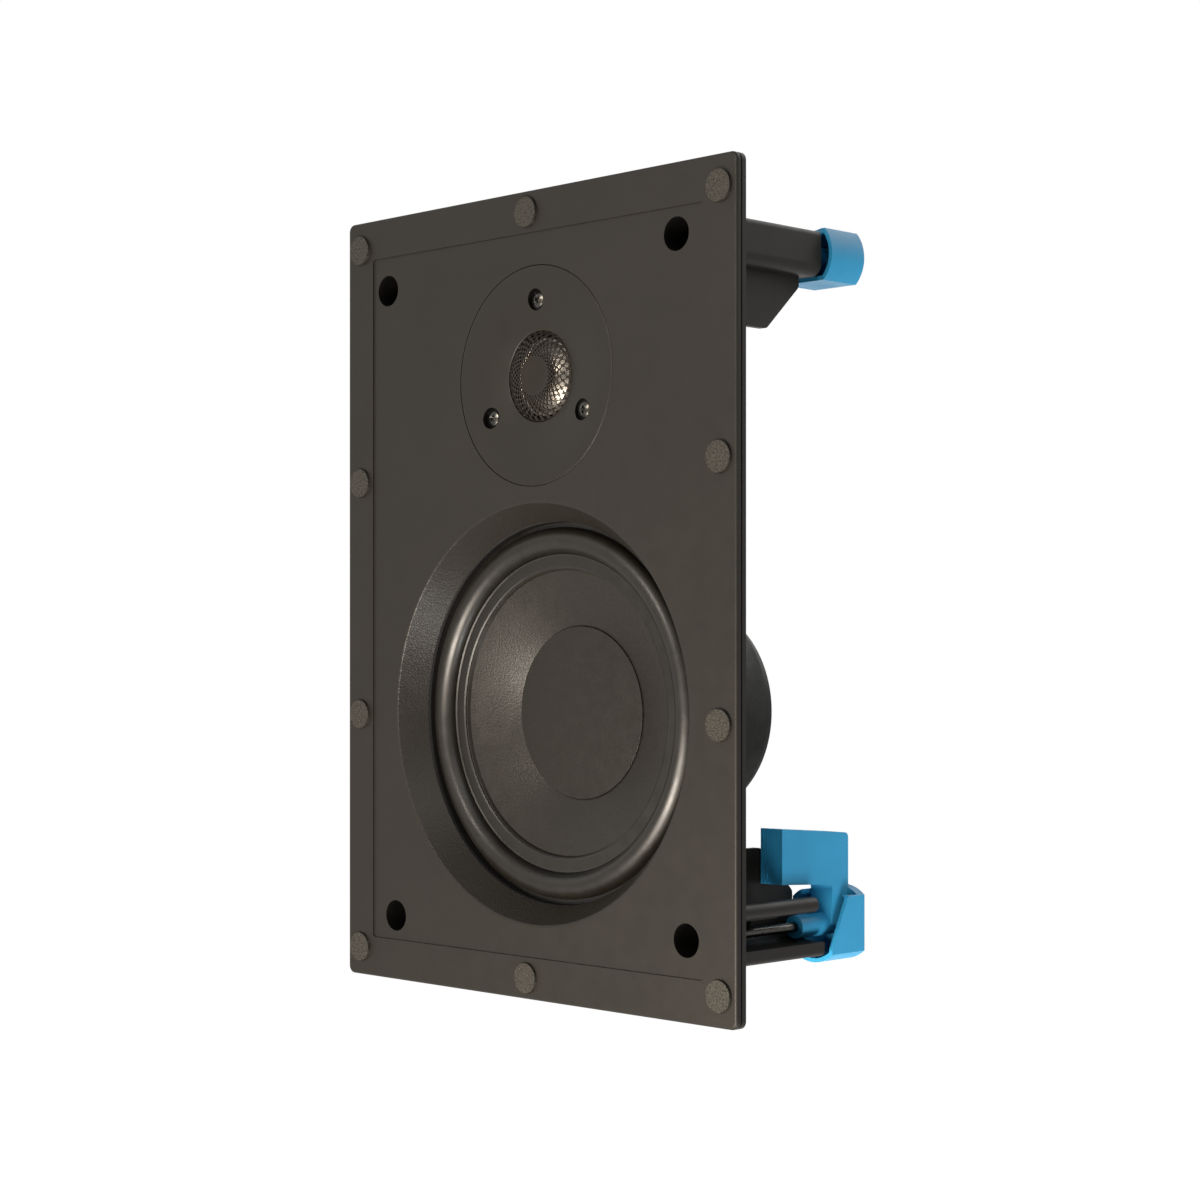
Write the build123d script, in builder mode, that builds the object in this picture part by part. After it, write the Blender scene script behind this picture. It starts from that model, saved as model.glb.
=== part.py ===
"""In-wall loudspeaker: a moulded baffle that carries a woofer, a tweeter, a crossover and four swing-out clamps.

Millimetres. +X is to the right seen from the front, +Y runs to the rear and +Z is up. The origin is the
centre of the flange's back face, which rests on the wall, so the front of the flange lies at negative Y.
"""
import os
from math import copysign, cos, radians, sin, sqrt

from build123d import *

os.makedirs("parts", exist_ok=True)

# Flange and front panel
flange_width = 216.0
flange_height = 310.0
flange_thickness = 5.0
flange_corner = 3.0
flange_edge_round = 1.0
edge_groove_depth = 0.8
edge_groove_width = 0.7
edge_groove_back = 2.3
panel_margin_x = 15.7
panel_margin_z = 16.1
panel_recess = 0.6
panel_corner = 1.5

# Wall that drops into the cut-out, and the ribs on the back of the panel
cutout_margin = 13.0
back_wall_depth = 10.0
back_wall_thickness = 2.4
back_wall_corner = 6.0
rib_thickness = 2.0
rib_depth = 6.0
rib_spread = 36.0
middle_rib_z = 38.0

# Grille magnets
magnet_radius = 5.75
magnet_thickness = 2.7
magnet_stands_out = 1.2
magnet_corner_inset_x = 8.1
magnet_corner_inset_z = 11.5
magnet_top_inset_z = 8.2
magnet_side_height = 47.6
glue_gap = 0.1

# Both drivers sit a little to one side of the flange's middle
driver_x = 3.5
pilot_gap = 0.05
clearance_hole = 0.2

# Woofer
woofer_z = -45.5
flare_mouth_radius = 81.0
flare_throat_radius = 74.0
flare_lip = 1.2
flare_depth = 6.0
collar_radius = 86.0
gasket_thickness = 1.5
basket_radius = 82.0
basket_rim_thickness = 3.5
basket_landing_radius = 68.0
basket_shoulder_radius = 74.6
basket_waist_radius = 45.2
basket_sheet = 2.2
basket_wall_step = 2.8
basket_heel = 4.5
basket_bore_radius = 24.0
basket_window_count = 6
basket_window_width = 30.0
basket_window_front = 20.0
basket_window_rear = 42.5
basket_window_corner = 4.0
surround_roll_radius = 5.0
surround_roll_middle = 67.0
surround_outer_radius = 73.8
surround_inner_radius = 56.2
surround_sheet = 0.8
surround_landing = 2.8
cone_outer_radius = 61.0
cone_ring_radius = 55.3
cone_step = 1.4
cone_depth = 9.9
cone_sheet = 1.1
cone_middle_share = 0.46
dust_cap_radius = 33.7
dust_cap_crown = 1.0
dust_cap_sheet = 0.7
coil_radius = 16.0
coil_wall = 0.7
coil_gap = 0.6
coil_length = 34.0
coil_neck_depth = 22.0
spider_outer_radius = 47.0
spider_landing = 3.0
spider_sheet = 0.6
spider_waves = 4
spider_wave_height = 1.6
spider_depth = 44.0
magnet_ring_front = 63.5
magnet_ring_radius = 45.0
magnet_ring_bore = 24.0
magnet_ring_thickness = 17.0
magnet_ring_chamfer = 0.8
steel_plate_radius = 42.0
steel_plate_thickness = 5.0
woofer_screw_count = 4
woofer_screw_circle = 78.5
woofer_screw_radius = 1.75
woofer_screw_head_radius = 3.4
woofer_screw_head_height = 2.2
woofer_screw_length = 7.5

# Tweeter
tweeter_z = 83.9
face_radius = 42.15
face_thickness = 4.0
face_gap = 0.25
face_opening_radius = 17.2
face_ledge_radius = 15.8
face_ledge_depth = 1.8
face_ring_radius = 20.0
seat_boss = 4.0
seat_boss_radius = 46.0
tweeter_body_radius = 22.5
tweeter_body_gap = 0.5
tweeter_screw_circle = 28.5
tweeter_screw_count = 3
tweeter_screw_radius = 1.5
tweeter_screw_head_radius = 2.75
tweeter_screw_head_height = 1.6
tweeter_screw_recess_radius = 4.3
tweeter_screw_recess_depth = 2.2
tweeter_screw_length = 5.8
lens_radius = 17.1
lens_rise = 4.0
lens_bulge = 1.3
lens_sheet = 0.8
lens_disc_radius = 7.5
lens_rings = 4
lens_ring_first = 9.3
lens_ring_pitch = 2.05
lens_holes_per_ring = 32
lens_hole_smallest = 0.5
lens_hole_growth = 0.09
dome_radius = 12.7
dome_rise = 4.0
dome_sheet = 0.4
dome_base_depth = 2.0
dome_coil_length = 5.5
dome_surround_gap = 0.05
dome_surround_roll = 0.9
pot_radius = 20.0
pot_wall = 6.8
pot_depth = 12.0
neo_radius = 10.6
neo_thickness = 4.0
pole_radius = 11.6
pole_thickness = 2.5
chamber_depth = 34.0
chamber_wall = 2.0

# Swing-out clamps, one at each corner, each a quarter turn on from the last
clamp_side_x = 83.2
clamp_side_z = 125.3
clamp_end_x = 78.3
clamp_end_z = 129.1
access_hole_radius = 6.2
access_hole_depth = 14.0
screw_floor = 3.0
screw_radius = 1.9
screw_head_radius = 4.2
screw_head_height = 2.8
screw_ring_radius = 3.8
screw_ring_thickness = 0.8
screw_end = 1.5
running_gap = 0.08
channel_radius = 5.6
tower_side = 11.0
tower_back = 9.0
tower_mouth = 7.9
tower_corner = 4.5
tower_lip_round = 2.0
tower_length = 63.5
low_wall_length = 36.0
low_wall_thickness = 2.4
finger_offset = 9.2
finger_radius = 2.9
finger_length = 55.0
gusset_thickness = 2.7
gusset_reach = 30.2
gusset_tower_height = 59.5
gusset_edge_height = 41.0
gusset_leg_side_extra = 1.8
gusset_shoulder = 13.0
gusset_corner = 2.5
tail_gusset_shift = 0.7
cap_front = 66.0
cap_rear = 86.0
cap_wall = 1.6
cap_radius = 14.3
cap_back = 10.1
cap_mouth = 9.5
cap_slant_start = -9.0
cap_slant_end = 11.0
cap_slant_rear = 75.6
cap_leg_rim = 81.0
cap_floor = 2.0
cap_edge_round = 1.2
cap_notch_gap = 0.6
hub_radius = 4.3
hub_front = 55.0
hub_rear = 83.7
leg_width = 10.6
leg_reach = 37.7
leg_inner = 17.0
leg_inner_draft = 1.7
leg_outer_draft = 3.2
pad_front = 42.0
web_front = 71.0
leg_rear = 80.5
leg_corner = 2.0
pad_rib_count = 11
pad_rib_depth = 0.35

# Crossover board and wire terminals
board_x = -64.0
board_z = 55.5
board_width = 48.0
board_height = 55.0
board_thickness = 1.6
board_corner = 2.0
board_standoff = 8.0
standoff_radius = 3.4
standoff_pilot_depth = 5.2
board_hole_inset = 4.0
board_screw_radius = 1.3
board_screw_head_radius = 2.6
board_screw_head_height = 1.6
board_screw_length = 6.5
block_width = 30.0
block_height = 13.0
block_depth = 14.0
block_edge_round = 1.0
block_z = 37.0
port_radius = 2.1
port_depth = 9.0
port_spacing = 15.0
port_shift = -3.0
button_width = 5.6
button_height = 4.0
button_travel = 2.0
button_stands_out = 3.2
button_gap = 0.15
button_pocket_depth = 7.0
button_shift = 3.3
button_end_round = 0.8
air_coil_spot = (-74.0, 66.0)
air_coil_radius = 11.0
air_coil_bore = 5.0
air_coil_height = 10.0
core_coil_spot = (-51.0, 70.0)
core_coil_radius = 8.0
core_radius = 3.5
core_coil_height = 9.0
core_flange = 1.2
capacitor_z = 50.0
long_capacitor_x = -74.5
long_capacitor_length = 22.0
long_capacitor_radius = 4.5
short_capacitor_x = -51.0
short_capacitor_length = 15.0
short_capacitor_radius = 3.5
resistor_spot = (-51.0, 58.0)
resistor_size = (18.0, 5.5)
resistor_height = 6.0
coil_edge_round = 0.8

# Depths and lengths that follow from the sizes above
flange_front = -flange_thickness
panel_front = flange_front + panel_recess
panel_width = flange_width - 2 * panel_margin_x
panel_height = flange_height - 2 * panel_margin_z
wall_width = flange_width - 2 * cutout_margin
wall_height = flange_height - 2 * cutout_margin
beyond = 1.0
basket_front = flare_depth + gasket_thickness
basket_rim_rear = basket_front + basket_rim_thickness
surround_base = basket_front + surround_landing
cone_front = surround_base + surround_sheet
basket_landing_rear = cone_front + basket_sheet
top_plate_front = magnet_ring_front - steel_plate_thickness
magnet_ring_rear = magnet_ring_front + magnet_ring_thickness
cap_edge_depth = cone_front + cone_depth
ledge_front = spider_depth + spider_sheet
ledge_rear = ledge_front + basket_sheet
coil_front = cone_front + coil_neck_depth
pole_piece_radius = coil_radius - coil_wall - coil_gap
woofer_screw_tip = basket_rim_rear - woofer_screw_length
face_back = panel_front + face_thickness
lens_rim = panel_front + face_ledge_depth - lens_sheet
lens_crown = lens_rim - lens_rise
pot_front = dome_base_depth + dome_sheet
pot_bore = pot_radius - pot_wall
tweeter_screw_seat = panel_front + tweeter_screw_recess_depth
channel_front = access_hole_depth + screw_floor
screw_tip = cap_rear + screw_end
board_back = board_standoff + board_thickness
block_rear = board_back + block_depth
leg_middle = (leg_inner + leg_reach) / 2

AXIS_Y = (0, 1, 0)


def level(depth):
    """Plane across the depth axis, drawn as seen from the front."""
    return Plane.XZ.offset(-depth)


def turning_plane(x, z):
    """Plane for a profile of radius against depth, turned round a line along Y."""
    return Plane(origin=(x, 0, z))


def turning_axis(x, z):
    return Axis((x, 0, z), AXIS_Y)


def polar_spots(count, radius, first_angle, z):
    """Points on a circle round a driver's middle."""
    angles = [radians(first_angle + 360 / count * n) for n in range(count)]
    return [(driver_x + radius * cos(angle), z + radius * sin(angle)) for angle in angles]


woofer_plane = turning_plane(driver_x, woofer_z)
woofer_axis = turning_axis(driver_x, woofer_z)
woofer_screw_spots = polar_spots(woofer_screw_count, woofer_screw_circle, 45, woofer_z)
tweeter_plane = turning_plane(driver_x, tweeter_z)
tweeter_axis = turning_axis(driver_x, tweeter_z)
tweeter_screw_spots = polar_spots(tweeter_screw_count, tweeter_screw_circle, 90, tweeter_z)

magnet_x = flange_width / 2 - magnet_corner_inset_x
magnet_z = flange_height / 2 - magnet_corner_inset_z
magnet_top_z = flange_height / 2 - magnet_top_inset_z
magnet_spots = {
    "upper_left": (-magnet_x, magnet_z),
    "upper_right": (magnet_x, magnet_z),
    "lower_left": (-magnet_x, -magnet_z),
    "lower_right": (magnet_x, -magnet_z),
    "left_high": (-magnet_x, magnet_side_height),
    "left_low": (-magnet_x, -magnet_side_height),
    "right_high": (magnet_x, magnet_side_height),
    "right_low": (magnet_x, -magnet_side_height),
    "top": (0, magnet_top_z),
    "bottom": (0, -magnet_top_z),
}

board_hole_x = board_width / 2 - board_hole_inset
board_hole_z = board_height / 2 - board_hole_inset
board_holes = [
    (board_x + side * board_hole_x, board_z + up * board_hole_z) for side in (-1, 1) for up in (-1, 1)
]

# Clamp frames: x runs along the folded leg, y out through the tower's slot and z to the rear
clamp_frames = {
    "lower_right": Plane(origin=(clamp_side_x, 0, -clamp_side_z), x_dir=(0, 0, 1), z_dir=AXIS_Y),
    "upper_right": Plane(origin=(clamp_end_x, 0, clamp_end_z), x_dir=(-1, 0, 0), z_dir=AXIS_Y),
    "upper_left": Plane(origin=(-clamp_side_x, 0, clamp_side_z), x_dir=(0, 0, -1), z_dir=AXIS_Y),
    "lower_left": Plane(origin=(-clamp_end_x, 0, -clamp_end_z), x_dir=(1, 0, 0), z_dir=AXIS_Y),
}


def leg_plane(frame, across=0.0):
    """Plane along a clamp's folded leg with depth upwards, moved out towards the slot; extrudes away from it."""
    return Plane(origin=frame.origin + frame.y_dir * across, x_dir=frame.x_dir, z_dir=-frame.y_dir)


def tail_plane(frame, along=0.0):
    """Plane away from a clamp's slot with depth upwards; extrudes away from the folded leg."""
    return Plane(origin=frame.origin + frame.x_dir * along, x_dir=-frame.y_dir, z_dir=-frame.x_dir)


def dome_arc(radius, crown, edge):
    """Arc of a dome, from its crown on the axis to its edge."""
    rise = edge - crown
    sphere = (radius**2 + rise**2) / (2 * rise)
    middle = crown + sphere - copysign(sqrt(sphere**2 - radius**2 / 4), rise)
    ThreePointArc((0, crown), (radius / 2, middle), (radius, edge))


def basket_inner(depth):
    """Inner radius of the basket's sloping wall at a depth."""
    front = (basket_shoulder_radius - basket_wall_step, basket_landing_rear)
    rear = (basket_waist_radius - basket_sheet, top_plate_front - basket_heel)
    share = (depth - front[1]) / (rear[1] - front[1])
    return front[0] + (rear[0] - front[0]) * share


def gusset_outline(extra):
    """Side view of a gusset: tall at the tower and lower at its far edge."""
    with BuildSketch() as outline:
        with BuildLine():
            FilletPolyline(
                (0, 0),
                (gusset_reach, 0),
                (gusset_reach, gusset_edge_height + extra),
                (gusset_shoulder, gusset_tower_height + extra),
                (0, gusset_tower_height + extra),
                radius=[0, 0, gusset_corner, gusset_corner, 0],
                close=True,
            )
        make_face()
    return outline.sketch


def cap_section(inset):
    """Round section of a clamp cap with two flats, one to the slot and one to the back, moved in by an inset."""
    with BuildSketch() as section:
        Circle(cap_radius - inset)
        with Locations((0, inset - cap_back)):
            Rectangle(
                2 * cap_radius,
                cap_back + cap_mouth - 2 * inset,
                align=(Align.CENTER, Align.MIN),
                mode=Mode.INTERSECT,
            )
    return section.sketch


# Baffle: one moulding with the flange, the front panel, the flare and the clamp towers
with BuildPart() as baffle:
    with BuildSketch(level(flange_front)):
        RectangleRounded(flange_width, flange_height, flange_corner)
    extrude(amount=-flange_thickness)
    fillet(baffle.faces().sort_by(Axis.Y)[0].edges(), flange_edge_round)
    with BuildSketch(level(flange_front + edge_groove_back)):
        Rectangle(2 * flange_width, 2 * flange_height)
        RectangleRounded(
            flange_width - 2 * edge_groove_depth,
            flange_height - 2 * edge_groove_depth,
            flange_corner - edge_groove_depth,
            mode=Mode.SUBTRACT,
        )
    extrude(amount=-edge_groove_width, mode=Mode.SUBTRACT)
    with BuildSketch(level(flange_front)):
        RectangleRounded(panel_width, panel_height, panel_corner)
    extrude(amount=-panel_recess, mode=Mode.SUBTRACT)

    # Wall round the cut-out, ribs, and the collars behind both drivers
    with BuildSketch(level(0)):
        RectangleRounded(wall_width, wall_height, back_wall_corner)
        RectangleRounded(
            wall_width - 2 * back_wall_thickness,
            wall_height - 2 * back_wall_thickness,
            back_wall_corner - back_wall_thickness,
            mode=Mode.SUBTRACT,
        )
    extrude(amount=-back_wall_depth)
    with BuildSketch(level(0)):
        with Locations((0, woofer_z), (0, middle_rib_z), (0, tweeter_z)):
            Rectangle(wall_width - back_wall_thickness, rib_thickness)
        with Locations((driver_x - rib_spread, 0), (driver_x + rib_spread, 0)):
            Rectangle(rib_thickness, wall_height - back_wall_thickness)
    extrude(amount=-rib_depth)
    with BuildSketch(level(0)):
        with Locations((driver_x, woofer_z)):
            Circle(collar_radius)
    extrude(amount=-flare_depth)
    with BuildSketch(level(0)):
        with Locations((driver_x, tweeter_z)):
            Circle(seat_boss_radius)
    extrude(amount=-seat_boss)
    with BuildSketch(level(0)):
        with Locations(*board_holes):
            Circle(standoff_radius)
    extrude(amount=-board_standoff)

    # Clamp towers, each with a low wall under the folded leg, a finger post and two gussets
    for frame in clamp_frames.values():
        with BuildSketch(frame):
            with BuildLine():
                FilletPolyline(
                    (0, tower_mouth),
                    (-tower_side, tower_mouth),
                    (-tower_side, -tower_back),
                    (channel_radius, -tower_back),
                    (channel_radius, gusset_thickness - tower_back),
                    (0, gusset_thickness - tower_back),
                    radius=[0, tower_lip_round, tower_corner, 0, 0, 0],
                    close=True,
                )
            make_face()
        extrude(amount=tower_length)
        with BuildSketch(frame):
            with Locations((0, -tower_back)):
                Rectangle(
                    channel_radius + low_wall_thickness, tower_back + tower_mouth, align=(Align.MIN, Align.MIN)
                )
        extrude(amount=low_wall_length)
        with BuildSketch(frame.offset(channel_front)):
            Circle(channel_radius)
            Rectangle(2 * channel_radius, tower_mouth + beyond, align=(Align.CENTER, Align.MIN))
        extrude(amount=tower_length, mode=Mode.SUBTRACT)
        with BuildSketch(frame):
            with Locations((finger_offset, finger_offset)):
                Circle(finger_radius)
        extrude(amount=finger_length)
        with BuildSketch(leg_plane(frame, gusset_thickness - tower_back)):
            add(gusset_outline(gusset_leg_side_extra))
        extrude(amount=gusset_thickness)
        with BuildSketch(tail_plane(frame, -tail_gusset_shift)):
            with BuildSketch(mode=Mode.PRIVATE) as tail:
                add(gusset_outline(0))
                Rectangle(tower_back - beyond, gusset_tower_height, align=(Align.MIN, Align.MIN), mode=Mode.SUBTRACT)
            add(tail.sketch)
        extrude(amount=gusset_thickness)
        with BuildSketch(frame.offset(flange_front)):
            Circle(access_hole_radius)
        extrude(amount=flange_thickness + access_hole_depth, mode=Mode.SUBTRACT)
        with BuildSketch(frame.offset(access_hole_depth)):
            Circle(screw_radius + running_gap)
        extrude(amount=screw_floor, mode=Mode.SUBTRACT)

    # Woofer flare with its soft lip
    with BuildSketch(woofer_plane):
        with BuildLine():
            FilletPolyline(
                (0, panel_front - beyond),
                (flare_mouth_radius + beyond, panel_front - beyond),
                (flare_mouth_radius + beyond, panel_front),
                (flare_mouth_radius, panel_front),
                (flare_throat_radius, flare_depth),
                (0, flare_depth),
                radius=[0, 0, 0, flare_lip, 0, 0],
                close=True,
            )
        make_face()
    revolve(axis=woofer_axis, mode=Mode.SUBTRACT)

    # Tweeter seat and opening, magnet pockets and screw pilots
    with BuildSketch(level(panel_front)):
        with Locations((driver_x, tweeter_z)):
            Circle(face_radius + face_gap)
    extrude(amount=-face_thickness, mode=Mode.SUBTRACT)
    with BuildSketch(level(face_back)):
        with Locations((driver_x, tweeter_z)):
            Circle(tweeter_body_radius + tweeter_body_gap)
    extrude(amount=-flange_thickness - rib_depth, mode=Mode.SUBTRACT)
    with BuildSketch(level(flange_front)):
        with Locations(*magnet_spots.values()):
            Circle(magnet_radius + glue_gap)
    extrude(amount=magnet_stands_out - magnet_thickness, mode=Mode.SUBTRACT)
    with BuildSketch(level(face_back)):
        with Locations(*tweeter_screw_spots):
            Circle(tweeter_screw_radius + pilot_gap)
    extrude(amount=face_back - rib_depth, mode=Mode.SUBTRACT)
    with BuildSketch(level(woofer_screw_tip)):
        with Locations(*woofer_screw_spots):
            Circle(woofer_screw_radius + pilot_gap)
    extrude(amount=woofer_screw_tip - flare_depth, mode=Mode.SUBTRACT)
    with BuildSketch(level(board_standoff - standoff_pilot_depth)):
        with Locations(*board_holes):
            Circle(board_screw_radius + pilot_gap)
    extrude(amount=-standoff_pilot_depth, mode=Mode.SUBTRACT)
baffle.part.label = "baffle"
export_step(baffle.part, "parts/baffle.step")


# Grille magnets
for place, (x, z) in magnet_spots.items():
    with BuildPart() as grille_magnet:
        with BuildSketch(level(flange_front - magnet_stands_out)):
            with Locations((x, z)):
                Circle(magnet_radius)
        extrude(amount=-magnet_thickness)
    grille_magnet.part.label = "grille_magnet_" + place
    export_step(grille_magnet.part, f"parts/grille_magnet_{place}.step")


# Clamps: the screw and the cap turn together, and the leg is drawn forward along the screw
for corner, frame in clamp_frames.items():
    with BuildPart() as clamp_screw:
        with BuildSketch(leg_plane(frame)):
            with BuildLine():
                Polyline(
                    (0, access_hole_depth - screw_head_height),
                    (screw_head_radius, access_hole_depth - screw_head_height),
                    (screw_head_radius, access_hole_depth),
                    (screw_radius, access_hole_depth),
                    (screw_radius, channel_front + running_gap),
                    (screw_ring_radius, channel_front + running_gap),
                    (screw_ring_radius, channel_front + running_gap + screw_ring_thickness),
                    (screw_radius, channel_front + running_gap + screw_ring_thickness),
                    (screw_radius, cap_rear),
                    (screw_ring_radius, cap_rear),
                    (screw_ring_radius, cap_rear + screw_ring_thickness),
                    (screw_radius, cap_rear + screw_ring_thickness),
                    (screw_radius, screw_tip),
                    (0, screw_tip),
                    close=True,
                )
            make_face()
        revolve(axis=Axis(frame.origin, AXIS_Y))
    clamp_screw.part.label = "clamp_screw_" + corner
    export_step(clamp_screw.part, f"parts/clamp_screw_{corner}.step")

    with BuildPart() as clamp_cap:
        with BuildSketch(frame.offset(cap_front)):
            add(cap_section(0))
        extrude(amount=cap_rear - cap_front)
        fillet(clamp_cap.faces().sort_by(Axis.Y)[-1].edges(), cap_edge_round)
        with BuildSketch(frame.offset(cap_front)):
            add(cap_section(cap_wall))
        extrude(amount=cap_rear - cap_floor - cap_front, mode=Mode.SUBTRACT)
        with BuildSketch(leg_plane(frame, cap_mouth + beyond)):
            with BuildLine():
                Polyline(
                    (cap_slant_start, cap_front - beyond),
                    (cap_slant_start, cap_front),
                    (cap_slant_end, cap_slant_rear),
                    (cap_slant_end, cap_leg_rim),
                    (cap_radius + beyond, cap_leg_rim),
                    (cap_radius + beyond, cap_front - beyond),
                    close=True,
                )
            make_face()
        extrude(amount=cap_mouth / 2 + beyond, mode=Mode.SUBTRACT)
        with BuildSketch(leg_plane(frame, cap_mouth + beyond)):
            with Locations((cap_slant_end, cap_front)):
                Rectangle(cap_radius, cap_leg_rim - cap_front, align=(Align.MIN, Align.MIN))
        extrude(amount=cap_mouth + beyond + leg_width / 2 + cap_notch_gap, mode=Mode.SUBTRACT)
        with BuildSketch(frame.offset(cap_front)):
            Circle(screw_radius + running_gap)
        extrude(amount=cap_rear - cap_front, mode=Mode.SUBTRACT)
    clamp_cap.part.label = "clamp_cap_" + corner
    export_step(clamp_cap.part, f"parts/clamp_cap_{corner}.step")

    with BuildPart() as clamp_leg:
        with BuildSketch(frame.offset(hub_front)):
            Circle(hub_radius)
        extrude(amount=hub_rear - hub_front)
        with BuildSketch(leg_plane(frame)):
            with BuildLine():
                FilletPolyline(
                    (0, web_front),
                    (leg_inner - leg_inner_draft, web_front),
                    (leg_inner, pad_front),
                    (leg_reach, pad_front),
                    (leg_reach - leg_outer_draft, leg_rear),
                    (0, leg_rear),
                    radius=[0, leg_corner, 0, 0, leg_corner, 0],
                    close=True,
                )
            make_face()
        extrude(amount=leg_width / 2, both=True)
        with BuildSketch(frame.offset(pad_front)):
            with Locations((leg_middle, 0)):
                with GridLocations(1, leg_width / pad_rib_count, 1, pad_rib_count - 1):
                    Rectangle(leg_reach - leg_inner + beyond, leg_width / pad_rib_count / 2)
        extrude(amount=pad_rib_depth, mode=Mode.SUBTRACT)
        with BuildSketch(frame.offset(hub_front)):
            Circle(screw_radius + running_gap)
        extrude(amount=hub_rear - hub_front, mode=Mode.SUBTRACT)
    clamp_leg.part.label = "clamp_leg_" + corner
    export_step(clamp_leg.part, f"parts/clamp_leg_{corner}.step")


# Woofer gasket, a ring between the baffle's collar and the basket
with BuildPart() as woofer_gasket:
    with BuildSketch(level(flare_depth)):
        with Locations((driver_x, woofer_z)):
            Circle(basket_radius)
            Circle(flare_throat_radius, mode=Mode.SUBTRACT)
        with Locations(*woofer_screw_spots):
            Circle(woofer_screw_radius + clearance_hole, mode=Mode.SUBTRACT)
    extrude(amount=-gasket_thickness)
woofer_gasket.part.label = "woofer_gasket"
export_step(woofer_gasket.part, "parts/woofer_gasket.step")


# Woofer basket: a pressed frame with a rim, a landing for the surround, open windows and a seat for the magnet
with BuildPart() as woofer_basket:
    with BuildSketch(woofer_plane):
        with BuildLine():
            Polyline(
                (flare_throat_radius, basket_front),
                (basket_radius, basket_front),
                (basket_radius, basket_rim_rear),
                (basket_shoulder_radius, basket_rim_rear),
                (basket_shoulder_radius, basket_landing_rear),
                (basket_waist_radius, top_plate_front - basket_heel),
                (basket_waist_radius, top_plate_front),
                (basket_bore_radius, top_plate_front),
                (basket_bore_radius, top_plate_front - basket_sheet),
                (basket_waist_radius - basket_sheet, top_plate_front - basket_sheet),
                (basket_waist_radius - basket_sheet, top_plate_front - basket_heel),
                (basket_shoulder_radius - basket_wall_step, basket_landing_rear),
                (basket_landing_radius, basket_landing_rear),
                (basket_landing_radius, cone_front),
                (flare_throat_radius, cone_front),
                close=True,
            )
        make_face()
    revolve(axis=woofer_axis)
    # Ledge for the spider, grown from the wall
    with BuildSketch(woofer_plane):
        with BuildLine():
            Polyline(
                (spider_outer_radius - spider_landing, ledge_front),
                (basket_inner(ledge_front) + basket_sheet / 2, ledge_front),
                (basket_inner(ledge_rear) + basket_sheet / 2, ledge_rear),
                (spider_outer_radius - spider_landing, ledge_rear),
                close=True,
            )
        make_face()
    revolve(axis=woofer_axis)
    for n in range(basket_window_count):
        turn = woofer_plane.rotated((0, 360 / basket_window_count * n, 0))
        with BuildSketch(turn):
            with Locations((0, (basket_window_front + basket_window_rear) / 2)):
                RectangleRounded(
                    basket_window_width, basket_window_rear - basket_window_front, basket_window_corner
                )
        extrude(amount=basket_radius, mode=Mode.SUBTRACT)
    with BuildSketch(level(basket_front)):
        with Locations(*woofer_screw_spots):
            Circle(woofer_screw_radius + clearance_hole)
    extrude(amount=-basket_rim_thickness, mode=Mode.SUBTRACT)
woofer_basket.part.label = "woofer_basket"
export_step(woofer_basket.part, "parts/woofer_basket.step")


# Woofer surround: a rubber half roll between the cone and the basket's landing
with BuildPart() as woofer_surround:
    roll_inside = surround_roll_middle - surround_roll_radius
    roll_outside = surround_roll_middle + surround_roll_radius
    with BuildSketch(woofer_plane):
        with BuildLine():
            Polyline(
                (roll_inside, surround_base),
                (surround_inner_radius, surround_base),
                (surround_inner_radius, cone_front),
                (roll_inside + surround_sheet, cone_front),
            )
            ThreePointArc(
                (roll_inside + surround_sheet, cone_front),
                (surround_roll_middle, cone_front - surround_roll_radius),
                (roll_outside - surround_sheet, cone_front),
            )
            Polyline(
                (roll_outside - surround_sheet, cone_front),
                (surround_outer_radius, cone_front),
                (surround_outer_radius, surround_base),
                (roll_outside, surround_base),
            )
            ThreePointArc(
                (roll_outside, surround_base),
                (surround_roll_middle, surround_base - surround_roll_radius),
                (roll_inside, surround_base),
            )
        make_face()
    revolve(axis=woofer_axis)
woofer_surround.part.label = "woofer_surround"
export_step(woofer_surround.part, "parts/woofer_surround.step")


# Woofer cone, with a stepped ring near its edge and a curved flank
with BuildPart() as woofer_cone:
    cone_bore = coil_radius + glue_gap
    cone_middle_radius = (cone_ring_radius + dust_cap_radius) / 2
    cone_middle_depth = cone_front + cone_step + (cone_depth - cone_step) * cone_middle_share
    with BuildSketch(woofer_plane):
        with BuildLine():
            Polyline(
                (cone_outer_radius, cone_front + cone_sheet),
                (cone_outer_radius, cone_front),
                (cone_ring_radius + cone_step / 2, cone_front),
                (cone_ring_radius, cone_front + cone_step),
            )
            Spline(
                (cone_ring_radius, cone_front + cone_step),
                (cone_middle_radius, cone_middle_depth),
                (dust_cap_radius, cap_edge_depth),
                (cone_bore, coil_front),
            )
            Line((cone_bore, coil_front), (cone_bore, coil_front + cone_sheet))
            Spline(
                (cone_bore, coil_front + cone_sheet),
                (dust_cap_radius, cap_edge_depth + cone_sheet),
                (cone_middle_radius, cone_middle_depth + cone_sheet),
                (cone_ring_radius, cone_front + cone_step + cone_sheet),
            )
            Polyline(
                (cone_ring_radius, cone_front + cone_step + cone_sheet),
                (cone_ring_radius + cone_step / 2, cone_front + cone_sheet),
                (cone_outer_radius, cone_front + cone_sheet),
            )
        make_face()
    revolve(axis=woofer_axis)
woofer_cone.part.label = "woofer_cone"
export_step(woofer_cone.part, "parts/woofer_cone.step")


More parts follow.
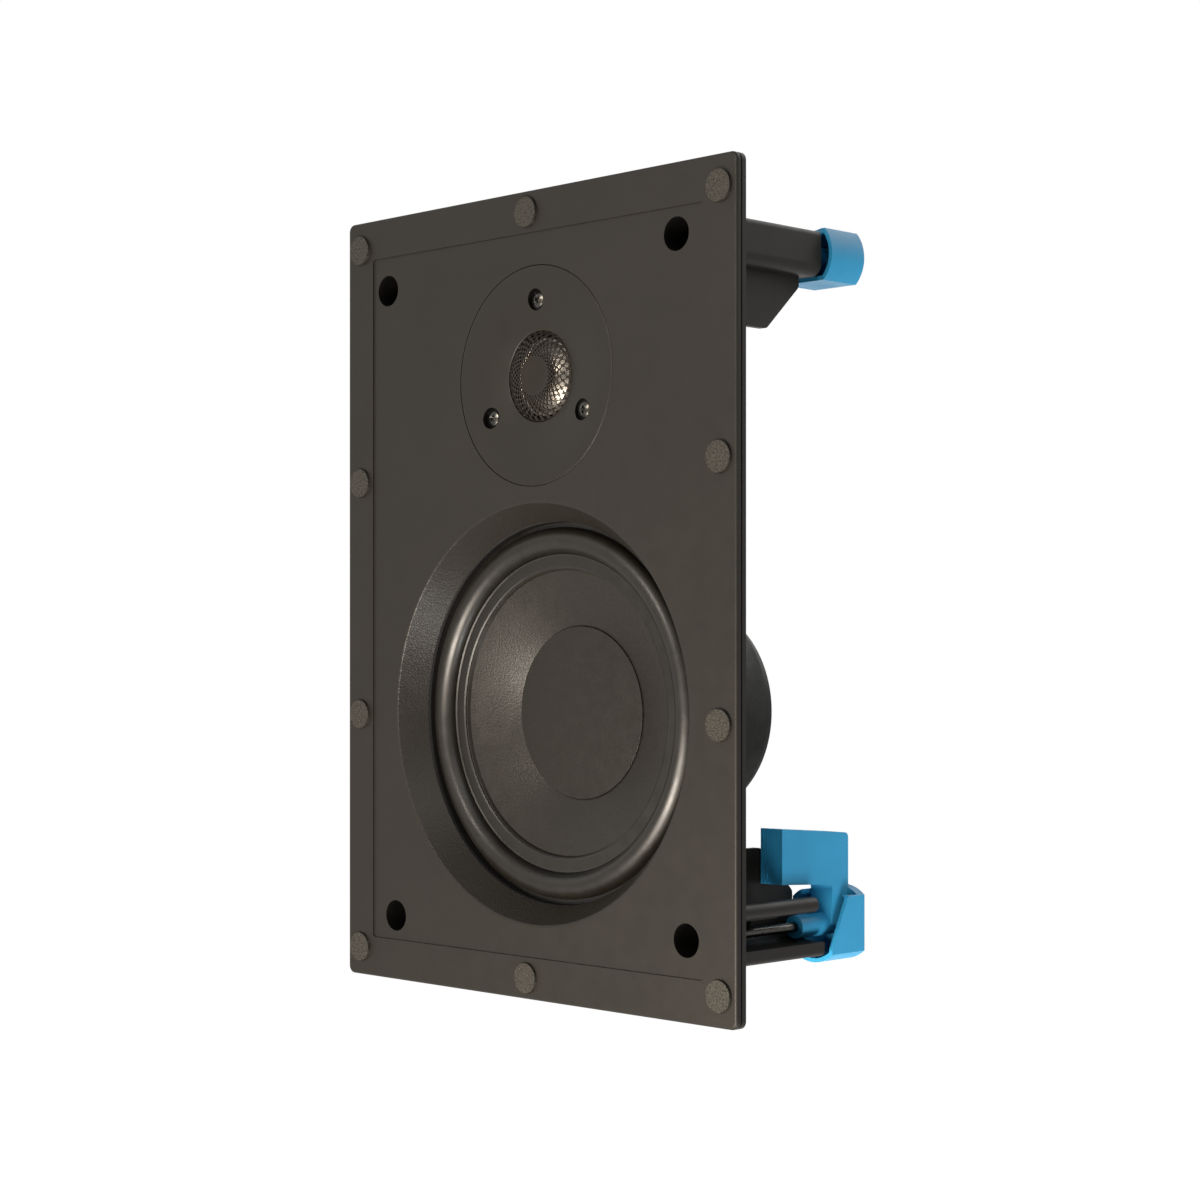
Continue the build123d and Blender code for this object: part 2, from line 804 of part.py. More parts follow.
# Woofer dust cap, a wide and nearly flat dome glued to the cone
with BuildPart() as woofer_dust_cap:
    crown = cap_edge_depth - dust_cap_crown
    with BuildSketch(woofer_plane):
        with BuildLine():
            for depth in (crown, crown - dust_cap_sheet):
                dome_arc(dust_cap_radius, depth, depth + dust_cap_crown)
            Line((0, crown), (0, crown - dust_cap_sheet))
            Line((dust_cap_radius, cap_edge_depth), (dust_cap_radius, cap_edge_depth - dust_cap_sheet))
        make_face()
    revolve(axis=woofer_axis)
woofer_dust_cap.part.label = "woofer_dust_cap"
export_step(woofer_dust_cap.part, "parts/woofer_dust_cap.step")


# Woofer voice coil on its former, reaching into the magnet's gap
with BuildPart() as woofer_voice_coil:
    with BuildSketch(level(coil_front)):
        with Locations((driver_x, woofer_z)):
            Circle(coil_radius)
            Circle(coil_radius - coil_wall, mode=Mode.SUBTRACT)
    extrude(amount=-coil_length)
woofer_voice_coil.part.label = "woofer_voice_coil"
export_step(woofer_voice_coil.part, "parts/woofer_voice_coil.step")


# Woofer spider, a waved cloth disc that centres the coil
with BuildPart() as woofer_spider:
    wave_start = spider_outer_radius - spider_landing
    wave_length = (wave_start - coil_radius - spider_landing) / spider_waves
    with BuildSketch(woofer_plane):
        with BuildLine():
            for side in (0, spider_sheet):
                depth = spider_depth + side
                Line((spider_outer_radius, depth), (wave_start, depth))
                waves = [(wave_start, depth)]
                for n in range(2 * spider_waves):
                    crest = depth + spider_wave_height / 2 * (1 if n % 2 else -1)
                    start = waves[-1]
                    end = (start[0] - wave_length / 2, depth)
                    ThreePointArc(start, (start[0] - wave_length / 4, crest), end)
                    waves.append(end)
                Line(waves[-1], (coil_radius, depth))
            Line((spider_outer_radius, spider_depth), (spider_outer_radius, spider_depth + spider_sheet))
            Line((coil_radius, spider_depth), (coil_radius, spider_depth + spider_sheet))
        make_face()
    revolve(axis=woofer_axis)
woofer_spider.part.label = "woofer_spider"
export_step(woofer_spider.part, "parts/woofer_spider.step")


# Woofer magnet: a front plate, a ferrite ring and a back plate with the pole
with BuildPart() as woofer_front_plate:
    with BuildSketch(level(top_plate_front)):
        with Locations((driver_x, woofer_z)):
            Circle(steel_plate_radius)
            Circle(coil_radius + coil_gap, mode=Mode.SUBTRACT)
    extrude(amount=-steel_plate_thickness)
woofer_front_plate.part.label = "woofer_front_plate"
export_step(woofer_front_plate.part, "parts/woofer_front_plate.step")

with BuildPart() as woofer_magnet:
    with BuildSketch(level(magnet_ring_front)):
        with Locations((driver_x, woofer_z)):
            Circle(magnet_ring_radius)
            Circle(magnet_ring_bore, mode=Mode.SUBTRACT)
    extrude(amount=-magnet_ring_thickness)
    rims = woofer_magnet.edges().filter_by(GeomType.CIRCLE).filter_by(lambda e: e.radius == magnet_ring_radius)
    chamfer(rims, magnet_ring_chamfer)
woofer_magnet.part.label = "woofer_magnet"
export_step(woofer_magnet.part, "parts/woofer_magnet.step")

with BuildPart() as woofer_back_plate:
    with BuildSketch(level(magnet_ring_rear)):
        with Locations((driver_x, woofer_z)):
            Circle(steel_plate_radius)
    extrude(amount=-steel_plate_thickness)
    with BuildSketch(level(top_plate_front)):
        with Locations((driver_x, woofer_z)):
            Circle(pole_piece_radius)
    extrude(amount=top_plate_front - magnet_ring_rear)
woofer_back_plate.part.label = "woofer_back_plate"
export_step(woofer_back_plate.part, "parts/woofer_back_plate.step")


def screw_outline(shaft, head, head_height, length):
    """Half of a pan-head screw: its seat at zero, the shaft to negative depth and a rounded head behind."""
    with BuildSketch() as outline:
        with BuildLine():
            Polyline(
                (0, head_height), (0, -length), (shaft, shaft - length), (shaft, 0), (head, 0), (head, head_height / 2)
            )
            dome_arc(head, head_height, head_height / 2)
        make_face()
    return outline.sketch


# Woofer screws, driven from behind through the basket's rim
for n, (x, z) in enumerate(woofer_screw_spots, start=1):
    with BuildPart() as woofer_screw:
        with BuildSketch(Plane(origin=(x, basket_rim_rear, z))):
            add(
                screw_outline(
                    woofer_screw_radius, woofer_screw_head_radius, woofer_screw_head_height, woofer_screw_length
                )
            )
        revolve(axis=turning_axis(x, z))
    woofer_screw.part.label = f"woofer_screw_{n}"
    export_step(woofer_screw.part, f"parts/woofer_screw_{n}.step")


# Tweeter face plate, flush with the panel, with sunk screw seats and a ledge for the lens
with BuildPart() as tweeter_face_plate:
    with BuildSketch(tweeter_plane):
        with BuildLine():
            Polyline(
                (face_opening_radius, panel_front),
                (face_radius, panel_front),
                (face_radius, face_back),
                (face_ring_radius, face_back),
                (face_ring_radius, dome_base_depth),
                (face_ledge_radius, dome_base_depth),
                (face_ledge_radius, panel_front + face_ledge_depth),
                (face_opening_radius, panel_front + face_ledge_depth),
                close=True,
            )
        make_face()
    revolve(axis=tweeter_axis)
    with BuildSketch(level(panel_front)):
        with Locations(*tweeter_screw_spots):
            Circle(tweeter_screw_recess_radius)
    extrude(amount=-tweeter_screw_recess_depth, mode=Mode.SUBTRACT)
    with BuildSketch(level(tweeter_screw_seat)):
        with Locations(*tweeter_screw_spots):
            Circle(tweeter_screw_radius + clearance_hole)
    extrude(amount=tweeter_screw_seat - face_back, mode=Mode.SUBTRACT)
tweeter_face_plate.part.label = "tweeter_face_plate"
export_step(tweeter_face_plate.part, "parts/tweeter_face_plate.step")


# Tweeter lens: a bulged perforated ring round a solid centre disc
with BuildPart() as tweeter_lens:
    ring_middle = (lens_radius + lens_disc_radius) / 2
    bulge_depth = (lens_crown + lens_rim) / 2 - lens_bulge
    with BuildSketch(tweeter_plane):
        with BuildLine():
            Line((0, lens_crown), (lens_disc_radius, lens_crown))
            ThreePointArc((lens_disc_radius, lens_crown), (ring_middle, bulge_depth), (lens_radius, lens_rim))
            Line((lens_radius, lens_rim), (lens_radius, lens_rim + lens_sheet))
            ThreePointArc(
                (lens_radius, lens_rim + lens_sheet),
                (ring_middle, bulge_depth + lens_sheet),
                (lens_disc_radius, lens_crown + lens_sheet),
            )
            Polyline((lens_disc_radius, lens_crown + lens_sheet), (0, lens_crown + lens_sheet), (0, lens_crown))
        make_face()
    revolve(axis=tweeter_axis)
    with BuildSketch(level(lens_crown)):
        with Locations((driver_x, tweeter_z)):
            for ring in range(lens_rings):
                ring_turn = 180 / lens_holes_per_ring * (ring % 2)
                with PolarLocations(lens_ring_first + lens_ring_pitch * ring, lens_holes_per_ring, ring_turn):
                    Circle(lens_hole_smallest + lens_hole_growth * ring)
    extrude(amount=lens_crown - face_back, mode=Mode.SUBTRACT)
tweeter_lens.part.label = "tweeter_lens"
export_step(tweeter_lens.part, "parts/tweeter_lens.step")


# Tweeter dome, its soft surround and its voice coil
with BuildPart() as tweeter_dome:
    with BuildSketch(tweeter_plane):
        with BuildLine():
            dome_arc(dome_radius, dome_base_depth - dome_rise, dome_base_depth)
            Polyline(
                (dome_radius, dome_base_depth), (dome_radius, pot_front), (dome_radius - dome_sheet, pot_front)
            )
            dome_arc(dome_radius - dome_sheet, pot_front - dome_rise, pot_front)
            Line((0, pot_front - dome_rise), (0, dome_base_depth - dome_rise))
        make_face()
    revolve(axis=tweeter_axis)
tweeter_dome.part.label = "tweeter_dome"
export_step(tweeter_dome.part, "parts/tweeter_dome.step")

with BuildPart() as tweeter_surround:
    surround_inside = dome_radius + dome_surround_gap
    with BuildSketch(tweeter_plane):
        with BuildLine():
            ThreePointArc(
                (surround_inside, dome_base_depth),
                ((surround_inside + face_ledge_radius) / 2, dome_base_depth - dome_surround_roll),
                (face_ledge_radius, dome_base_depth),
            )
            Polyline(
                (face_ledge_radius, dome_base_depth),
                (face_ring_radius, dome_base_depth),
                (face_ring_radius, pot_front),
                (face_ledge_radius, pot_front),
            )
            ThreePointArc(
                (face_ledge_radius, pot_front),
                ((surround_inside + face_ledge_radius) / 2, pot_front - dome_surround_roll),
                (surround_inside, pot_front),
            )
            Line((surround_inside, pot_front), (surround_inside, dome_base_depth))
        make_face()
    revolve(axis=tweeter_axis)
tweeter_surround.part.label = "tweeter_surround"
export_step(tweeter_surround.part, "parts/tweeter_surround.step")

with BuildPart() as tweeter_voice_coil:
    with BuildSketch(level(pot_front)):
        with Locations((driver_x, tweeter_z)):
            Circle(dome_radius)
            Circle(dome_radius - dome_sheet, mode=Mode.SUBTRACT)
    extrude(amount=-dome_coil_length)
tweeter_voice_coil.part.label = "tweeter_voice_coil"
export_step(tweeter_voice_coil.part, "parts/tweeter_voice_coil.step")


# Tweeter motor: a steel pot, a disc magnet and the pole plate on it
with BuildPart() as tweeter_pot:
    with BuildSketch(level(pot_front)):
        with Locations((driver_x, tweeter_z)):
            Circle(pot_radius)
    extrude(amount=-pot_depth)
    with BuildSketch(level(pot_front)):
        with Locations((driver_x, tweeter_z)):
            Circle(pot_bore)
    extrude(amount=-pole_thickness - neo_thickness, mode=Mode.SUBTRACT)
tweeter_pot.part.label = "tweeter_pot"
export_step(tweeter_pot.part, "parts/tweeter_pot.step")

with BuildPart() as tweeter_pole_plate:
    with BuildSketch(level(pot_front)):
        with Locations((driver_x, tweeter_z)):
            Circle(pole_radius)
    extrude(amount=-pole_thickness)
tweeter_pole_plate.part.label = "tweeter_pole_plate"
export_step(tweeter_pole_plate.part, "parts/tweeter_pole_plate.step")

with BuildPart() as tweeter_magnet:
    with BuildSketch(level(pot_front + pole_thickness)):
        with Locations((driver_x, tweeter_z)):
            Circle(neo_radius)
    extrude(amount=-neo_thickness)
tweeter_magnet.part.label = "tweeter_magnet"
export_step(tweeter_magnet.part, "parts/tweeter_magnet.step")

with BuildPart() as tweeter_chamber:
    with BuildSketch(level(face_back)):
        with Locations((driver_x, tweeter_z)):
            Circle(tweeter_body_radius)
    extrude(amount=face_back - chamber_depth)
    fillet(tweeter_chamber.faces().sort_by(Axis.Y)[-1].edges(), chamber_wall)
    with BuildSketch(level(face_back)):
        with Locations((driver_x, tweeter_z)):
            Circle(tweeter_body_radius - chamber_wall)
    extrude(amount=face_back - chamber_depth + chamber_wall, mode=Mode.SUBTRACT)
tweeter_chamber.part.label = "tweeter_chamber"
export_step(tweeter_chamber.part, "parts/tweeter_chamber.step")


# Tweeter screws, sunk in the face plate
for n, (x, z) in enumerate(tweeter_screw_spots, start=1):
    with BuildPart() as tweeter_screw:
        with BuildSketch(Plane(origin=(x, tweeter_screw_seat, z), x_dir=(1, 0, 0), z_dir=(0, 0, -1))):
            add(
                screw_outline(
                    tweeter_screw_radius, tweeter_screw_head_radius, tweeter_screw_head_height, tweeter_screw_length
                )
            )
        revolve(axis=turning_axis(x, z))
    tweeter_screw.part.label = f"tweeter_screw_{n}"
    export_step(tweeter_screw.part, f"parts/tweeter_screw_{n}.step")


# Crossover board on four posts, held by two screws
with BuildPart() as crossover_board:
    with BuildSketch(level(board_standoff)):
        with Locations((board_x, board_z)):
            RectangleRounded(board_width, board_height, board_corner)
        with Locations(*board_holes):
            Circle(board_screw_radius + clearance_hole, mode=Mode.SUBTRACT)
    extrude(amount=-board_thickness)
crossover_board.part.label = "crossover_board"
export_step(crossover_board.part, "parts/crossover_board.step")

for n, (x, z) in enumerate((board_holes[0], board_holes[-1]), start=1):
    with BuildPart() as board_screw:
        with BuildSketch(Plane(origin=(x, board_back, z))):
            add(
                screw_outline(
                    board_screw_radius, board_screw_head_radius, board_screw_head_height, board_screw_length
                )
            )
        revolve(axis=turning_axis(x, z))
    board_screw.part.label = f"board_screw_{n}"
    export_step(board_screw.part, f"parts/board_screw_{n}.step")


# Crossover coils, capacitors and resistor
with BuildPart() as air_core_coil:
    with BuildSketch(level(board_back)):
        with Locations(air_coil_spot):
            Circle(air_coil_radius)
            Circle(air_coil_bore, mode=Mode.SUBTRACT)
    extrude(amount=-air_coil_height)
    fillet(air_core_coil.faces().sort_by(Axis.Y)[-1].edges(), coil_edge_round)
air_core_coil.part.label = "air_core_coil"
export_step(air_core_coil.part, "parts/air_core_coil.step")

with BuildPart() as bobbin_coil:
    with BuildSketch(turning_plane(*core_coil_spot)):
        with BuildLine():
            Polyline(
                (core_radius, board_back),
                (core_coil_radius, board_back),
                (core_coil_radius, board_back + core_flange),
                (core_coil_radius - core_flange, board_back + core_flange),
                (core_coil_radius - core_flange, board_back + core_coil_height - core_flange),
                (core_coil_radius, board_back + core_coil_height - core_flange),
                (core_coil_radius, board_back + core_coil_height),
                (core_radius, board_back + core_coil_height),
                close=True,
            )
        make_face()
    revolve(axis=turning_axis(*core_coil_spot))
bobbin_coil.part.label = "bobbin_coil"
export_step(bobbin_coil.part, "parts/bobbin_coil.step")

for name, x, length, radius in (
    ("long_capacitor", long_capacitor_x, long_capacitor_length, long_capacitor_radius),
    ("short_capacitor", short_capacitor_x, short_capacitor_length, short_capacitor_radius),
):
    with BuildPart() as capacitor:
        with BuildSketch(Plane(origin=(x, board_back + radius, capacitor_z), z_dir=(1, 0, 0))):
            Circle(radius)
        extrude(amount=length / 2, both=True)
        fillet(capacitor.edges().filter_by(GeomType.CIRCLE), coil_edge_round)
    capacitor.part.label = name
    export_step(capacitor.part, f"parts/{name}.step")

with BuildPart() as power_resistor:
    with BuildSketch(level(board_back)):
        with Locations(resistor_spot):
            Rectangle(*resistor_size)
    extrude(amount=-resistor_height)
power_resistor.part.label = "power_resistor"
export_step(power_resistor.part, "parts/power_resistor.step")


# Wire terminal block with two ports and two spring buttons, all facing the rear
with BuildPart() as terminal_block:
    with BuildSketch(level(board_back)):
        with Locations((board_x, block_z)):
            Rectangle(block_width, block_height)
    extrude(amount=-block_depth)
    fillet(terminal_block.edges().filter_by(Axis.Y), block_edge_round)
    with BuildSketch(level(block_rear)):
        with Locations((board_x, block_z + port_shift)):
            with GridLocations(port_spacing, 1, 2, 1):
                Circle(port_radius)
    extrude(amount=port_depth, mode=Mode.SUBTRACT)
    with BuildSketch(level(block_rear)):
        with Locations((board_x, block_z + button_shift)):
            with GridLocations(port_spacing, 1, 2, 1):
                Rectangle(button_width + 2 * button_gap, button_height + 2 * button_gap)
    extrude(amount=button_pocket_depth, mode=Mode.SUBTRACT)
terminal_block.part.label = "terminal_block"
export_step(terminal_block.part, "parts/terminal_block.step")

for name, side in (("red_button", -1), ("black_button", 1)):
    with BuildPart() as terminal_button:
        with BuildSketch(level(block_rear + button_stands_out)):
            with Locations((board_x + side * port_spacing / 2, block_z + button_shift)):
                Rectangle(button_width, button_height)
        extrude(amount=button_pocket_depth + button_stands_out - button_travel - clearance_hole)
        fillet(terminal_button.faces().sort_by(Axis.Y)[-1].edges(), button_end_round)
    terminal_button.part.label = name
    export_step(terminal_button.part, f"parts/{name}.step")
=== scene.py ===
from math import atan2, cos, hypot, pi, radians, sin, sqrt

import bmesh
import bpy
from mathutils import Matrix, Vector


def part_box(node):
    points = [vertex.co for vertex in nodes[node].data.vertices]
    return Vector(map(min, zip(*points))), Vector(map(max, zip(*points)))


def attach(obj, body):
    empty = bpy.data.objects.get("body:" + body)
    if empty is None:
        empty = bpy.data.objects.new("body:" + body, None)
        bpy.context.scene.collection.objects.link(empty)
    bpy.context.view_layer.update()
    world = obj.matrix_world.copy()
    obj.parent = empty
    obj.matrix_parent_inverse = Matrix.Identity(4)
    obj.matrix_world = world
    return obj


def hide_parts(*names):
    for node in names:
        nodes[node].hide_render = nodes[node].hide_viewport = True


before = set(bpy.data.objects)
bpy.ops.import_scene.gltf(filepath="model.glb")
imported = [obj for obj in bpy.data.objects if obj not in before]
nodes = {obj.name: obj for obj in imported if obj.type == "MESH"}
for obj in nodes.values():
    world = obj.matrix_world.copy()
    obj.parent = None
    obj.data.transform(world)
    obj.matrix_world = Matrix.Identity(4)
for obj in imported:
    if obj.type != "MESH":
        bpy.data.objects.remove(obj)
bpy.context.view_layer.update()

MM = 0.001

# Places and sizes repeated from the part's source, in millimetres
DRIVER_X = 3.5
WOOFER_Z = -45.5
TWEETER_Z = 83.9
PANEL_FRONT = -4.4
FLARE_MOUTH_RADIUS = 81.0
BASKET_RIM_REAR = 11.0
BOARD_BACK = 9.6
ACCESS_HOLES = ((83.2, -125.3), (78.3, 129.1), (-83.2, 125.3), (-78.3, -129.1))
ACCESS_HOLE_RADIUS = 6.2
SCREW_CIRCLE = 29.2
SCREW_RECESS_RADIUS = 4.15
SCREW_SEAT = -1.7
screw_angles = [radians(90 + 120 * n) for n in range(3)]
screw_places = [
    (DRIVER_X + SCREW_CIRCLE * cos(angle), TWEETER_Z + SCREW_CIRCLE * sin(angle)) for angle in screw_angles
]


# Camera: the photograph's view, from the right and level with the speaker
PHOTO_WIDTH = 1200
FOCAL_LENGTH_PIXELS = 2397.6
SHIFT_PIXELS = 45.4
SENSOR_WIDTH = 36.0
CAMERA_PLACE = (671.5, -633.3, -19.3)
CAMERA_TURN = 45.15

camera_data = bpy.data.cameras.new("camera")
camera_data.sensor_width = SENSOR_WIDTH
camera_data.lens = SENSOR_WIDTH * FOCAL_LENGTH_PIXELS / PHOTO_WIDTH
camera_data.shift_y = SHIFT_PIXELS / PHOTO_WIDTH
camera_data.clip_start = 0.05
camera_data.clip_end = 60.0
camera = bpy.data.objects.new("camera", camera_data)
camera.location = tuple(value * MM for value in CAMERA_PLACE)
camera.rotation_euler = (radians(90), 0, radians(CAMERA_TURN))
bpy.context.scene.collection.objects.link(camera)
bpy.context.scene.camera = camera
bpy.context.scene.view_settings.view_transform = "Standard"


# Node helpers
NOISE_ROUGHNESS = 0.55
NOISE_LOW = 0.3
NOISE_HIGH = 0.7
DARK_TONE_END = 0.32
LIGHT_TONE_START = 0.68
PEBBLE_SMOOTHNESS = 0.6
HOLE_MARGIN = 0.05


def new_material(name):
    """An empty node material and its tree."""
    material = bpy.data.materials.new(name)
    material.use_nodes = True
    tree = material.node_tree
    tree.nodes.clear()
    return material, tree


def add_node(tree, kind, **settings):
    """A node with its attributes and its input values set; inputs are given by position or name."""
    node = tree.nodes.new(kind)
    inputs = settings.pop("inputs", {})
    for key, value in settings.items():
        setattr(node, key, value)
    for key, value in inputs.items():
        node.inputs[key].default_value = value
    return node


def join(tree, source, target):
    tree.links.new(source, target)


def calculate(tree, operation, *sources):
    """Result of a math node over sockets and plain numbers."""
    node = add_node(tree, "ShaderNodeMath", operation=operation)
    for socket, source in zip(node.inputs, sources):
        if isinstance(source, (int, float)):
            socket.default_value = source
        else:
            join(tree, source, socket)
    return node.outputs[0]


def linear(red, green, blue):
    """Linear colour of an eight-bit sRGB colour."""
    values = []
    for channel in (red, green, blue):
        share = channel / 255
        values.append(share / 12.92 if share <= 0.04045 else ((share + 0.055) / 1.055) ** 2.4)
    return (*values, 1.0)


def scaled(colour, share):
    return (colour[0] * share, colour[1] * share, colour[2] * share, 1.0)


def object_place(tree):
    """Object coordinates of the shading point."""
    return add_node(tree, "ShaderNodeTexCoord").outputs["Object"]


def noise(tree, scale, detail=3.0, stretch=None):
    """Noise over object coordinates, in features per metre."""
    source = object_place(tree)
    if stretch:
        mapping = add_node(tree, "ShaderNodeMapping", inputs={"Scale": stretch})
        join(tree, source, mapping.inputs["Vector"])
        source = mapping.outputs["Vector"]
    settings = {"Scale": scale, "Detail": detail, "Roughness": NOISE_ROUGHNESS}
    texture = add_node(tree, "ShaderNodeTexNoise", inputs=settings)
    join(tree, source, texture.inputs["Vector"])
    return texture.outputs["Fac"]


def pebbles(tree, scale):
    """Rounded cells over object coordinates, for a leather-like mould grain."""
    settings = {"Scale": scale, "Smoothness": PEBBLE_SMOOTHNESS}
    texture = add_node(tree, "ShaderNodeTexVoronoi", feature="SMOOTH_F1", inputs=settings)
    join(tree, object_place(tree), texture.inputs["Vector"])
    return texture.outputs["Distance"]


def map_range(tree, source, from_low, from_high, to_low, to_high):
    """A value mapped from one range to another, and kept inside it."""
    settings = {"From Min": from_low, "From Max": from_high, "To Min": to_low, "To Max": to_high}
    mapped = add_node(tree, "ShaderNodeMapRange", inputs=settings)
    join(tree, source, mapped.inputs["Value"])
    return mapped.outputs["Result"]


def two_tone(tree, source, dark, light):
    """Colour between two tones by a noise value."""
    ramp = add_node(tree, "ShaderNodeValToRGB")
    stops = ramp.color_ramp.elements
    for stop, position, colour in zip(stops, (DARK_TONE_END, LIGHT_TONE_START), (dark, light)):
        stop.position = position
        stop.color = colour
    join(tree, source, ramp.inputs["Fac"])
    return ramp.outputs["Color"]


def bump(tree, height, distance, under=None):
    """Bump of a height source, on top of another bump."""
    node = add_node(tree, "ShaderNodeBump", inputs={"Strength": 1.0, "Distance": distance * MM})
    join(tree, height, node.inputs["Height"])
    if under is not None:
        join(tree, under, node.inputs["Normal"])
    return node.outputs["Normal"]


def distance_from(tree, x, z):
    """Distance of a shading point from a line along Y, in metres."""
    flat = add_node(tree, "ShaderNodeVectorMath", operation="MULTIPLY", inputs={1: (1, 0, 1)})
    join(tree, object_place(tree), flat.inputs[0])
    away = add_node(tree, "ShaderNodeVectorMath", operation="DISTANCE", inputs={1: (x * MM, 0, z * MM)})
    join(tree, flat.outputs["Vector"], away.inputs[0])
    return away.outputs["Value"]


def painted_shade_in_holes(tree, colour, spots, radius, rear, share):
    """Painted shade: colour that darkens inside round holes along Y, in front of a depth."""
    near = None
    for x, z in spots:
        away = distance_from(tree, x, z)
        near = away if near is None else calculate(tree, "MINIMUM", near, away)
    split = add_node(tree, "ShaderNodeSeparateXYZ")
    join(tree, object_place(tree), split.inputs[0])
    inside = calculate(tree, "LESS_THAN", near, (radius + HOLE_MARGIN) * MM)
    in_front = calculate(tree, "LESS_THAN", split.outputs["Y"], rear * MM)
    mix = add_node(tree, "ShaderNodeMix", data_type="RGBA", blend_type="MULTIPLY")
    colours = [socket for socket in mix.inputs if socket.type == "RGBA"]
    join(tree, calculate(tree, "MULTIPLY", inside, in_front), mix.inputs["Factor"])
    join(tree, colour, colours[0])
    colours[1].default_value = (share, share, share, 1)
    return next(socket for socket in mix.outputs if socket.type == "RGBA")


# Finishes: one procedural material for each of the record's slots
COAT_ROUGHNESS = 0.2
ROUGHNESS_SCALE = 160.0
PLASTIC_GRAIN = ((1800.0, 0.012),)
# Painted shade: shares that darken the colour inside the access holes and the screw recesses, in front of
# these depths
ACCESS_HOLE_SHADE = 0.12
ACCESS_HOLE_SHADE_REAR = 15.0
SCREW_RECESS_SHADE = 0.08
SCREW_RECESS_SHADE_REAR = 0.0
FLARE_EDGE_BLUR = 0.2
FLARE_NOISE_SCALE = 1300.0
FLARE_PEBBLE_SCALE = 1250.0
FLARE_GRAIN_HEIGHT = 0.09
FLARE_EXTRA_GLOSS = 0.25


def finish(
    name,
    colour,
    roughness,
    metallic=0.0,
    specular=0.5,
    tone=0.1,
    tone_scale=70.0,
    roughness_spread=0.06,
    grain=((2200.0, 0.02),),
    coat=0.0,
    sheen=0.0,
    stretch=None,
):
    """A procedural material: two-tone colour, uneven roughness and layers of fine bump."""
    material, tree = new_material(name)
    output = add_node(tree, "ShaderNodeOutputMaterial")
    shader = add_node(
        tree,
        "ShaderNodeBsdfPrincipled",
        inputs={
            "Metallic": metallic,
            "Specular IOR Level": specular,
            "Coat Weight": coat,
            "Coat Roughness": COAT_ROUGHNESS,
            "Sheen Weight": sheen,
        },
    )
    join(tree, shader.outputs["BSDF"], output.inputs["Surface"])
    base = linear(*colour)
    patches = noise(tree, tone_scale, stretch=stretch)
    tones = two_tone(tree, patches, scaled(base, 1 - tone), scaled(base, 1 + tone))
    join(tree, tones, shader.inputs["Base Color"])
    uneven = noise(tree, ROUGHNESS_SCALE, stretch=stretch)
    low, high = roughness - roughness_spread, roughness + roughness_spread
    join(tree, map_range(tree, uneven, NOISE_LOW, NOISE_HIGH, low, high), shader.inputs["Roughness"])
    normal = None
    for scale, distance in grain:
        normal = bump(tree, noise(tree, scale, detail=2.0, stretch=stretch), distance, under=normal)
    join(tree, normal, shader.inputs["Normal"])
    return material


def shader_inputs(material):
    """Inputs of a finish's shader."""
    return next(n for n in material.node_tree.nodes if n.type == "BSDF_PRINCIPLED").inputs


def source_of(socket):
    """The socket that an input is joined to."""
    return socket.links[0].from_socket


def baffle_finish():
    """Moulded plastic with painted shade inside the access holes: fine on the flat faces, leather grain on
    the woofer's flare.
    """
    material = finish(
        "visual_baffle", (20, 18, 15), 0.47, specular=0.16,
        tone=0.06, tone_scale=22.0, roughness_spread=0.04, grain=PLASTIC_GRAIN,
    )
    tree = material.node_tree
    inputs = shader_inputs(material)
    # Painted shade: the colour is darkened inside the access holes, in front of their rear depth
    holes = painted_shade_in_holes(
        tree, source_of(inputs["Base Color"]), ACCESS_HOLES, ACCESS_HOLE_RADIUS,
        ACCESS_HOLE_SHADE_REAR, ACCESS_HOLE_SHADE,
    )
    join(tree, holes, inputs["Base Color"])
    edge_in = (FLARE_MOUTH_RADIUS - FLARE_EDGE_BLUR) * MM
    edge_out = (FLARE_MOUTH_RADIUS + FLARE_EDGE_BLUR) * MM
    in_flare = map_range(tree, distance_from(tree, DRIVER_X, WOOFER_Z), edge_in, edge_out, 1.0, 0.0)
    grain = calculate(tree, "ADD", noise(tree, FLARE_NOISE_SCALE), pebbles(tree, FLARE_PEBBLE_SCALE))
    masked = calculate(tree, "MULTIPLY", grain, in_flare)
    join(tree, bump(tree, masked, FLARE_GRAIN_HEIGHT, under=source_of(inputs["Normal"])), inputs["Normal"])
    glossier = calculate(tree, "SUBTRACT", 1.0, calculate(tree, "MULTIPLY", in_flare, FLARE_EXTRA_GLOSS))
    dull = source_of(inputs["Roughness"])
    join(tree, calculate(tree, "MULTIPLY", dull, glossier), inputs["Roughness"])
    return material


def face_finish():
    """The tweeter plate's plastic, with painted shade inside the screw recesses."""
    material = finish(
        "visual_face", (20, 18, 15), 0.44, specular=0.155,
        tone=0.05, tone_scale=30.0, roughness_spread=0.04, grain=PLASTIC_GRAIN,
    )
    inputs = shader_inputs(material)
    # Painted shade: the colour is darkened inside the screw recesses
    recesses = painted_shade_in_holes(
        material.node_tree, source_of(inputs["Base Color"]), screw_places, SCREW_RECESS_RADIUS,
        SCREW_RECESS_SHADE_REAR, SCREW_RECESS_SHADE,
    )
    join(material.node_tree, recesses, inputs["Base Color"])
    return material


